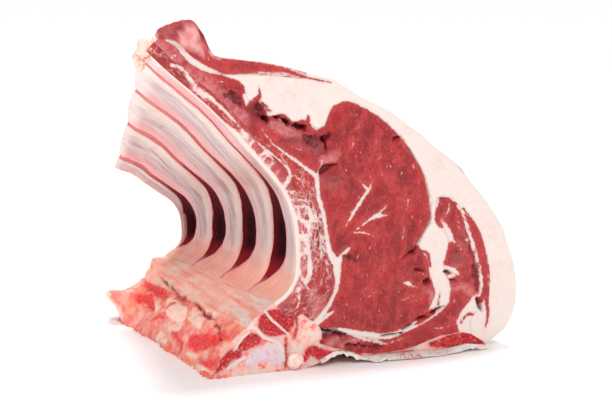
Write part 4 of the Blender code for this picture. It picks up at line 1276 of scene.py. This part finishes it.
class LAMB_OT_fat(bpy.types.Operator):
    """Builds the fat over the back, its wedge under the top muscle and its branch between the muscles"""

    bl_idname = "lamb.fat"
    bl_label = "Fat"

    def execute(self, context):
        finish = cut_material("cut_fat", tones(), skin_tone=outer_fat(tones()))
        corner = line(EYE_TOP[0], BAND_UNDER[0])
        wedge = patch(
            dense(RAGGED)[::-1], dense(BAND_UNDER)[::-1],
            line(RAGGED[-1], BAND_UNDER[-1]), corner, grain(),
        )
        self.add("fat_wedge", wedge, finish)
        junction = line(EYE_RIGHT_LOW[-1], CAP_INSIDE[-1])
        inner = joined(
            dense(EYE_TOP), dense(EYE_RIGHT_HIGH)[::-1], junction, line(CAP_INSIDE[-1], CAP_OUTSIDE[0]),
            dense(CAP_OUTSIDE),
        )
        outer = joined(line(BAND_UNDER[0], BAND_OVER[0]), dense(FAT_OUTSIDE))
        over = patch(inner, outer, corner, line(CAP_OUTSIDE[-1], FAT_OUTSIDE[-1]), grain())

        def swell(points, u, v, depth):
            """Unevenness of the outside, which is rounded off beside both cuts."""
            free = smooth_step(u, 0.9, 1.0) * smooth_step(v, 0.0, 0.1)
            worn = np.exp(-np.minimum(depth, DEPTH - depth) / 0.9)
            return free * (0.8 * rough(points, 17.0, 3, 4) + 0.22 * rough(points, 2.6, 3, 9) - 0.9 * worn)

        self.add("fat_cap", over, finish, 1.2, swell)
        branch = patch(
            joined(dense(LOIN_BELOW), dense(LOIN_RIGHT), dense(EYE_RIGHT_LOW)), dense(CAP_INSIDE),
            line(LOIN_BELOW[0], CAP_INSIDE[0]), junction, grain(),
        )
        self.add("fat_branch", branch, finish)
        return {"FINISHED"}

    def add(self, name, grid, finish, step=6.0, swell=None):
        """One body of fat."""
        cut = Cut(grid, sizes(), False)
        loft("raw_" + name, grid, cut.relief, cut.fields, finish, name, step, None, swell)


class LAMB_OT_bones(bpy.types.Operator):
    """Builds the sawn backbone and the feather bones along the underside"""

    bl_idname = "lamb.bones"
    bl_label = "Bones"

    def execute(self, context):
        finish = bone_material("sawn_bone", tones())
        inside, outside = wall_lines(WALL_COUNT)
        top = joined(inside[:1], outside[:1], line(CHINE_BACK[-1]))
        foot = line(CHINE_FACE[0], CHINE_BACK[0])
        back = patch(dense(CHINE_FACE), dense(CHINE_BACK), foot, top, grain())

        def paint(points, u, v, depth):
            """Where blood, the crack and the lumps lie on the sawn face."""
            face = np.column_stack([depth, v * SAWN_LENGTH])
            bent = face + 1.3 * np.column_stack([noise(points, 3.0, 41), noise(points, 3.0, 42)])
            return {
                "level": v + 0.035 * (depth / DEPTH - 0.5), "near": smooth_step(depth, 34.0, 6.0),
                **stroke_fields(bent, {"blood": BLOODY, "crack": CRACK, "lump": LUMPS}),
            }

        def saw(points, u, v, depth):
            """Torn and lumpy low on the sawn face, streaked with fat along its top."""
            free = smooth_step(u, 0.12, 0.0)
            ragged = smooth_step(v, 0.8, 0.55)
            marks = paint(points, u, v, depth)
            broken = rough(points, 9.0, 5, 21) + 0.35 * noise(points * (1.0, 0.6, 1.0), 1.3, 23)
            fatty = 0.3 * rough(points * (1.0, 0.35, 1.0), 3.0, 3, 25)
            height = sizes().saw / MM * broken * ragged + fatty * (1 - ragged)
            height += 1.3 * smooth_step(marks["lump"], -0.6, 1.6)
            height -= 0.5 * smooth_step(marks["blood"], -0.5, 1.5)
            height -= 1.5 * smooth_step(marks["crack"] + 0.5 * noise(points, 2.6, 24), -0.4, 0.8)
            ends = smooth_step(depth, 0.0, 1.2)
            settled = smooth_step(v, 1.0, 0.9)
            return free * settled * (height * (0.35 + 0.65 * ends) + far_end(points, v, depth))

        def far_end(points, v, depth):
            """A torn flap at the far lower end, and a small one above it."""
            flap = 6.0 * np.exp(-(((v - 0.24) / 0.11) ** 2)) + 2.2 * np.exp(-(((v - 0.8) / 0.09) ** 2))
            torn = 1.0 + 0.55 * rough(points, 3.4, 3, 61)
            return (1.0 + flap) * torn * smooth_step(depth, 91.0, 101.0)

        self.add("backbone", back, self.fields(back), finish, 0.8, saw, paint)
        top = joined(
            dense(CONNECTIVE_TOP), line(*LOIN_FOOT), line(LOIN_FOOT[1], CAP_INSIDE[0], FEATHER_TOP[0]),
            dense(FEATHER_TOP),
        )
        side, end = dense(CHINE_BACK), line(BOTTOM_EDGE[-1], FAT_OUTSIDE[-1], FEATHER_TOP[-1])
        level = patch(side, end, dense(BOTTOM_EDGE), top, grain())
        feather = patch(side, end, lifted_edge(), top, grain())

        def sag(points, u, v, depth):
            """Hollows in the underside."""
            free = smooth_step(v, 0.14, 0.0) * smooth_step(points[:, 0], 33.0, 40.0)
            lift = np.clip(0.9 + rough(points, 12.0, 4, 31), 0.0, None)
            return -free * lift * 0.8 * smooth_step(depth, 0.5, 5.0)

        def flat_paint(points, u, v, depth):
            """No blood, cracks or lumps."""
            nothing = dict.fromkeys(("blood", "crack", "lump"), np.full(len(u), OUTSIDE))
            return {"level": np.full(len(u), 0.9), **nothing}

        self.add("feather_bones", feather, self.fields(feather), finish, 1.4, sag, flat_paint, level)
        return {"FINISHED"}

    def fields(self, grid):
        """Where marrow, cortex and cartilage lie on a cut."""
        return stroke_fields(grid, {"marrow": MARROW, "cortex": CORTEX, "cartilage": CARTILAGE})

    def add(self, name, grid, fields, finish, step, swell, paint, far_grid=None):
        """One body of bone: on its cuts, marrow is pitted and cortex and cartilage stand proud."""
        places = flat_places(grid)
        shape = grid.shape[:2]
        pits = smooth_step(fields["marrow"], -0.5, 0.8)
        relief = 0.3 * rough(places, 7.0, 4, 2).reshape(shape)
        relief += 0.15 * rough(places, 1.3, 2, 6).reshape(shape)
        relief += 0.35 * smooth_step(fields["cortex"], -0.5, 0.2)
        relief += 0.8 * smooth_step(fields["cartilage"], -0.6, 2.0)
        relief -= pits * (0.4 + 0.5 * noise(places, 1.0, 12).reshape(shape))
        loft("raw_" + name, grid, relief, fields, finish, name, step, far_grid, swell, paint)


def lifted_edge():
    """The lower edge of the near cut, clear of the floor by up to LIFT between its ends."""
    edge = dense(BOTTOM_EDGE)
    rise = LIFT * smooth_step(edge[:, 0], 58.0, 68.0) * smooth_step(edge[:, 0], 113.0, 104.0)
    return edge + np.column_stack([np.zeros(len(edge)), rise])


def sweep(share):
    """How far the ribs and their spaces bend away from the near cut: most at their roots, and a little
    where the spaces are wide."""
    return ROOT_SWEEP * smooth_step(share, 0.22, 0.0) + BELLY_SWEEP * belly(share)


def belly(share):
    """1 where the spaces between the ribs are widest, falling to 0 towards root and tip."""
    return np.exp(-(((share - WIDEST_AT) / WIDE_STRETCH) ** 2))


def half_space(share):
    """Half the width of the space between two ribs, at a share of the way from root to tip."""
    pointed = 0.15 + 0.85 * smooth_step(share, 0.01, 0.13)
    return (SPACE_ENDS + (SPACE_MIDDLE - SPACE_ENDS) * belly(share)) * pointed


class LAMB_OT_ribs(bpy.types.Operator):
    """Builds the ribs under their film and the muscle in the spaces between them"""

    bl_idname = "lamb.ribs"
    bl_label = "Ribs"

    def execute(self, context):
        rib, space = rib_material(tones()), space_material(tones())
        for number in range(RIB_COUNT):
            low = FIRST_SPACE + (number - 1) * RIB_PITCH
            self.strip(f"rib_{number + 1}", number, low, low + RIB_PITCH, rib, "rib_skin", True)
        for number in range(RIB_COUNT - 1):
            middle = FIRST_SPACE + number * RIB_PITCH
            self.strip(f"rib_space_{number + 1}", number, middle, middle, space, "dark_meat", False)
        return {"FINISHED"}

    def strip(self, name, number, low, high, finish, slot, is_rib):
        """A strip of the wall from root to tip. Across it the surface is a ridge on a rib and a trough in
        a space: its share of the way through the wall is RIB_EDGE times the cube of the distance from the
        middle on a rib, and RIB_EDGE plus SPACE_FLOOR less its fourth power in a space. Troughs are deep
        in the lower part and shallow in the upper one."""
        counts = (RIB_CELLS if is_rib else SPACE_CELLS, WALL_COUNT, CELLS_THROUGH)
        (i, j, k), squares = shell(counts)
        a, s, t = i / counts[0], j / counts[1], k / counts[2]
        inside, outside = wall_lines(counts[1])
        near_cut, far_cut = low < 0, high > DEPTH
        sign = 1.0 if is_rib else -1.0
        start = np.zeros(len(s)) if near_cut else low + sweep(s) + sign * half_space(s)
        end = np.full(len(s), DEPTH) if far_cut else high + sweep(s) - sign * half_space(s)
        start = np.minimum(start, DEPTH - LAST_START)
        end = end if far_cut else np.minimum(end, DEPTH - LAST_END)
        depth = start + (end - start) * a
        off = np.abs(2 * a - 1)
        if near_cut:
            off = np.where(a < 0.5, 0.0, off)
        if far_cut:
            off = np.where(a > 0.5, 0.0, off)
        rooted = smooth_step(s, 0.02, 0.16)
        deep = smooth_step(s, 0.64, 0.36)
        if is_rib:
            face = RIB_EDGE * off**3 * rooted * (0.35 + 0.65 * deep)
        else:
            floor = SPACE_FLOOR * (1.0 - off**4) * smooth_step(s, 0.03, 0.2)
            face = (RIB_EDGE * (0.35 + 0.65 * deep) + floor * deep) * rooted
        through = face + (1.0 - face) * t
        section = inside[j] + (outside[j] - inside[j]) * through[:, None]
        forward = inside[-1] - inside[-5]
        forward /= np.linalg.norm(forward)
        bump = (1 - off**2) if is_rib else -0.6 * np.ones(len(a))
        if near_cut:
            bump = np.where(a < 0.5, 2 * a, 1 - off**2)
        section = section + forward * (sizes().tips / MM * bump * smooth_step(s, 0.93, 1.0))[:, None]
        points = taper(section, depth)
        squares = outward(points, squares)
        flat = np.column_stack([depth, reach(inside)[j] / 6.0, np.full(len(s), 40.0 * number)])
        front = 1.0 - t
        streaks = 0.2 * rough(flat, 2.6, 3, 33) + 0.12 * rough(points, 6.0, 3, 35)
        edge_fade = np.minimum(smooth_step(depth, 0.0, 3.0), smooth_step(DEPTH - depth, 0.0, 3.0))
        points = points + point_normals(points, squares) * (streaks * front * edge_fade)[:, None]
        cut = 1.0 - smooth_step(np.minimum(depth, DEPTH - depth), 0.0, SKIN_FROM)
        wall = np.linspace(WALL, WALL_AT_TIPS, counts[1] + 1)[j]
        high = smooth_step(s, 0.6, 0.7)
        edge_line = through * wall - (1.5 - 1.9 * high)
        veins = -inside_of(section, STRIP_VEINS) if near_cut else np.full(len(a), 9.0)
        fields = {
            "across": a, "along": s, "skin": 1.0 - cut, "number": np.full(len(a), float(number)),
            "flesh": np.minimum(edge_line, veins), "web": web_width(section),
            "over": (through - 1.0) * wall, "up": reach(inside)[j],
            "flush": smooth_step(-through * wall, -6.0, -1.0) * 0.6 * (1.0 - high),
            "torn": smooth_step(inside_of(section, RIB_RED), -0.6, 0.6) if near_cut else np.zeros(len(a)),
        }
        add_mesh("raw_" + name, points, squares, fields, finish, name)


def ball(centre, radii, size=4.0, roughness=0.1, seed=0, counts=(36, 24)):
    """A closed round lump: a sphere by longitude and latitude, stretched to radii, whose distance from
    its centre varies with noise by that share. centre and radii are (x, depth, z) in mm."""
    turn = np.linspace(0.0, 2 * np.pi, counts[0], endpoint=False)
    rise = np.linspace(-np.pi / 2, np.pi / 2, counts[1] + 1)[1:-1]
    turn, rise = (part.ravel() for part in np.meshgrid(turn, rise))
    way = np.column_stack([np.cos(turn) * np.cos(rise), np.sin(turn) * np.cos(rise), np.sin(rise)])
    way = np.vstack([way, (0.0, 0.0, -1.0), (0.0, 0.0, 1.0)])
    points = way * radii
    points = points * (1.0 + roughness * rough(points + centre, size, 3, seed))[:, None] + centre
    ring = np.arange(counts[0] * (counts[1] - 1)).reshape(-1, counts[0])
    ahead = np.roll(ring, -1, axis=1)
    squares = np.stack([ring[:-1], ahead[:-1], ahead[1:], ring[1:]], -1).reshape(-1, 4)
    south, north = len(points) - 2, len(points) - 1
    bottom = np.column_stack([ahead[0], ring[0], np.full(counts[0], south), np.full(counts[0], south)])
    top = np.column_stack([ring[-1], ahead[-1], np.full(counts[0], north), np.full(counts[0], north)])
    return points, np.vstack([squares, bottom, top])


class LAMB_OT_trimmings(bpy.types.Operator):
    """Builds the loose pieces: the hem along the lower edge, the knob, the crumbs and a rib's torn tip"""

    bl_idname = "lamb.trimmings"
    bl_label = "Trimmings"

    def execute(self, context):
        tissue = tissue_material(tones())
        self.hem(tissue)
        knob = [((33.7, -0.3, 3.5), (3.0, 2.2, 3.1))]
        self.lumps("raw_knob", knob, 2.6, 0.12, tissue, "feather_bones", 2.0)
        maker = np.random.default_rng(7)
        torn = bone_material("torn_bits", tones())
        crumbs = []
        for number in range(CRUMBS):
            at_front = number < CRUMBS_AT_FRONT
            depth = maker.uniform(-0.6, 9.0) if at_front else maker.uniform(4.0, DEPTH - 4.0)
            lift = maker.uniform(0.3, 1.0)
            size = maker.uniform(0.35, 0.95) if at_front else maker.uniform(0.25, 0.55)
            across = 1.0 + 0.6 * lift - maker.uniform(0.0, 1.4)
            across += maker.uniform(0.0, 8.0) if depth < 0 else 0.0
            place = taper(np.array([[across, lift]]), np.array([depth]))[0]
            crumbs.append((place, size * maker.uniform(0.7, 1.3, 3)))
        self.lumps("raw_crumbs", crumbs, 1.2, 0.35, torn, "backbone", 0.4, (12, 8))
        tip = [
            ((-20.8, 3.4, 118.9), (3.2, 3.0, 3.2)), ((-22.4, 6.4, 115.6), (1.8, 3.4, 2.6)),
            ((-17.0, 2.4, 121.0), (2.8, 1.8, 1.8)), ((-21.0, 9.6, 113.6), (1.8, 3.2, 2.4)),
        ]
        self.lumps("raw_tip_tissue", tip, 2.4, 0.35, tissue, "rib_1", 3.0)
        return {"FINISHED"}

    def lumps(self, name, places, size, roughness, finish, node, blood, counts=(36, 24)):
        """Several lumps as one piece. The squares at their poles have two corners in one place."""
        points, squares, start = [], [], 0
        for seed, (centre, radii) in enumerate(places):
            some, faces = ball(np.array(centre), np.array(radii), size, roughness, seed, counts)
            points.append(some)
            squares.append(faces + start)
            start += len(some)
        points, squares = np.vstack(points), np.vstack(squares)
        ones = np.ones(len(points))
        nothing = dict.fromkeys(("crack", "lump", "marrow", "cortex", "cartilage"), ones * OUTSIDE)
        fields = {"skin": ones, "level": ones * 0.3, "blood": ones * (blood - 1.0) * 0.5, **nothing}
        add_mesh(name, points, squares, fields, finish, node)

    def hem(self, finish):
        """Torn white tissue that hangs from the lower edge of the near cut: from the edge it falls
        outwards and down in folds, and its free edge is ragged."""
        counts = (320, 14, 1)
        (i, j, k), squares = shell(counts)
        u, v = i / counts[0], j / counts[1]
        whole = lifted_edge()
        edge = even(whole[whole[:, 0] > BOTTOM_EDGE[2][0]], counts[0])[i]
        out = 1.0 + 1.6 * smooth_step(edge[:, 0], 58.0, 66.0) * smooth_step(edge[:, 0], 104.0, 92.0)
        along = [np.column_stack([edge[:, 0], 0.0 * u, level + 0.0 * u]) for level in (5.0, 9.0)]
        fold, fine = noise(along[0], 5.0, 51), noise(along[1], 1.3, 52)
        drip = np.exp(-(((edge[:, 0] - 65.4) / 1.1) ** 2))
        ends = smooth_step(u, 0.0, 0.05) * smooth_step(u, 1.0, 0.96)
        span = (0.9 + 0.8 * fold + 0.8 * fine + 2.6 * drip) * ends
        start = edge[:, 1] + 1.0 - 0.8 * smooth_step(edge[:, 0], 86.0, 92.0)
        height = start - (1.0 + span) * v**1.2
        depth = -0.5 - out * (1.1 + 0.7 * fold) * np.sin(v * np.pi * 0.55) - 0.35 * fine * v
        thick = 0.3 * (1.0 - 0.6 * v)
        depth = depth + thick * k
        points = np.column_stack([edge[:, 0], depth, np.maximum(height, 0.7 + 0.3 * k)])
        fields = {"skin": np.ones(len(u))}
        add_mesh("raw_hem", points, outward(points, squares), fields, finish, "feather_bones")


class LAMB_OT_stage(bpy.types.Operator):
    """Adds the floor, the soft light and the camera"""

    bl_idname = "lamb.stage"
    bl_label = "Stage"

    def execute(self, context):
        scene = context.scene
        scene.view_settings.view_transform = "Standard"
        mesh = bpy.data.meshes.new("floor")
        far = FLOOR_REACH
        corners = [(-far, -far, 0.0), (far, -far, 0.0), (far, far, 0.0), (-far, far, 0.0)]
        mesh.from_pydata(corners, [], [(0, 1, 2, 3)])
        paint = Paint("floor_white", {"Roughness": 0.6, "Specular IOR Level": 0.2})
        speck = paint.noise(40.0, 3.0).between(0.3, 0.7)
        base = paint.mix(speck * 0.02, tones().floor, (0.9, 0.9, 0.9))
        mesh.materials.append(paint.finish(base, 0.6 + speck * 0.01, speck * 0.01))
        floor = bpy.data.objects.new("floor", mesh)
        scene.collection.objects.link(floor)
        world = bpy.data.worlds.new("studio")
        scene.world = world
        world.use_nodes = True
        tree = world.node_tree
        background = tree.nodes["Background"]
        background.inputs["Color"].default_value = (1.0, 1.0, 1.0, 1.0)
        seen = tree.nodes.new("ShaderNodeLightPath")
        strength = tree.nodes.new("ShaderNodeMapRange")
        strength.inputs["To Min"].default_value = ROOM_LIGHT
        tree.links.new(seen.outputs["Is Camera Ray"], strength.inputs["Value"])
        tree.links.new(strength.outputs["Result"], background.inputs["Strength"])
        for name, offset, size, power in LAMPS:
            self.lamp((CAD_BOX[0] + CAD_BOX[1]) / 2, name, offset, size, power)
        sun = bpy.data.lights.new("top", "SUN")
        sun.energy, sun.angle = SUN_POWER, SUN_ANGLE
        overhead = bpy.data.objects.new("top", sun)
        overhead.rotation_euler = Vector(SUN_DIRECTION).to_track_quat("-Z", "Y").to_euler()
        scene.collection.objects.link(overhead)
        self.camera(scene)
        return {"FINISHED"}

    def lamp(self, target, name, offset, size, power):
        """A round soft lamp that faces target."""
        light = bpy.data.lights.new(name, "AREA")
        light.shape, light.size, light.energy = "DISK", size, power
        lamp = bpy.data.objects.new(name, light)
        lamp.location = target + Vector(offset)
        lamp.rotation_euler = (-Vector(offset)).to_track_quat("-Z", "Y").to_euler()
        bpy.context.scene.collection.objects.link(lamp)

    def camera(self, scene):
        """A long lens, aimed at CAMERA_TARGET from CAMERA_TURN to its left and CAMERA_RISE above it."""
        data = bpy.data.cameras.new("camera")
        data.lens, data.sensor_width = sizes().lens, SENSOR_WIDTH
        camera = bpy.data.objects.new("camera", data)
        turn, rise = np.radians(CAMERA_TURN), np.radians(CAMERA_RISE)
        back = Vector((-np.sin(turn) * np.cos(rise), -np.cos(turn) * np.cos(rise), np.sin(rise)))
        camera.location = Vector(CAMERA_TARGET) + back * sizes().distance
        camera.rotation_euler = (-back).to_track_quat("-Z", "Y").to_euler()
        scene.collection.objects.link(camera)
        scene.camera = camera


class LAMB_PT_panel(bpy.types.Panel):
    """Lists the pieces in the 3D view's sidebar"""

    bl_idname = "LAMB_PT_panel"
    bl_label = "Rack of lamb"
    bl_space_type = "VIEW_3D"
    bl_region_type = "UI"
    bl_category = "Lamb"

    def draw(self, context):
        for operator in OPERATORS:
            self.layout.operator(operator.bl_idname)
        for group in (context.scene.lamb_sizes, context.scene.lamb_colours):
            for name in group.bl_rna.properties.keys():
                if name not in ("rna_type", "name"):
                    self.layout.prop(group, name)


OPERATORS = (LAMB_OT_stage, LAMB_OT_bones, LAMB_OT_ribs, LAMB_OT_muscles, LAMB_OT_fat, LAMB_OT_trimmings)
CLASSES = (LambSizes, LambColours, *OPERATORS, LAMB_PT_panel)


def register():
    for group in CLASSES:
        bpy.utils.register_class(group)
    bpy.types.Scene.lamb_sizes = PointerProperty(type=LambSizes)
    bpy.types.Scene.lamb_colours = PointerProperty(type=LambColours)


def unregister():
    del bpy.types.Scene.lamb_colours
    del bpy.types.Scene.lamb_sizes
    for group in reversed(CLASSES):
        bpy.utils.unregister_class(group)


def main():
    """Builds every piece in order."""
    register()
    bpy.ops.lamb.stage()
    bpy.ops.lamb.bones()
    bpy.ops.lamb.ribs()
    bpy.ops.lamb.muscles()
    bpy.ops.lamb.fat()
    bpy.ops.lamb.trimmings()


if __name__ == "__main__":
    main()
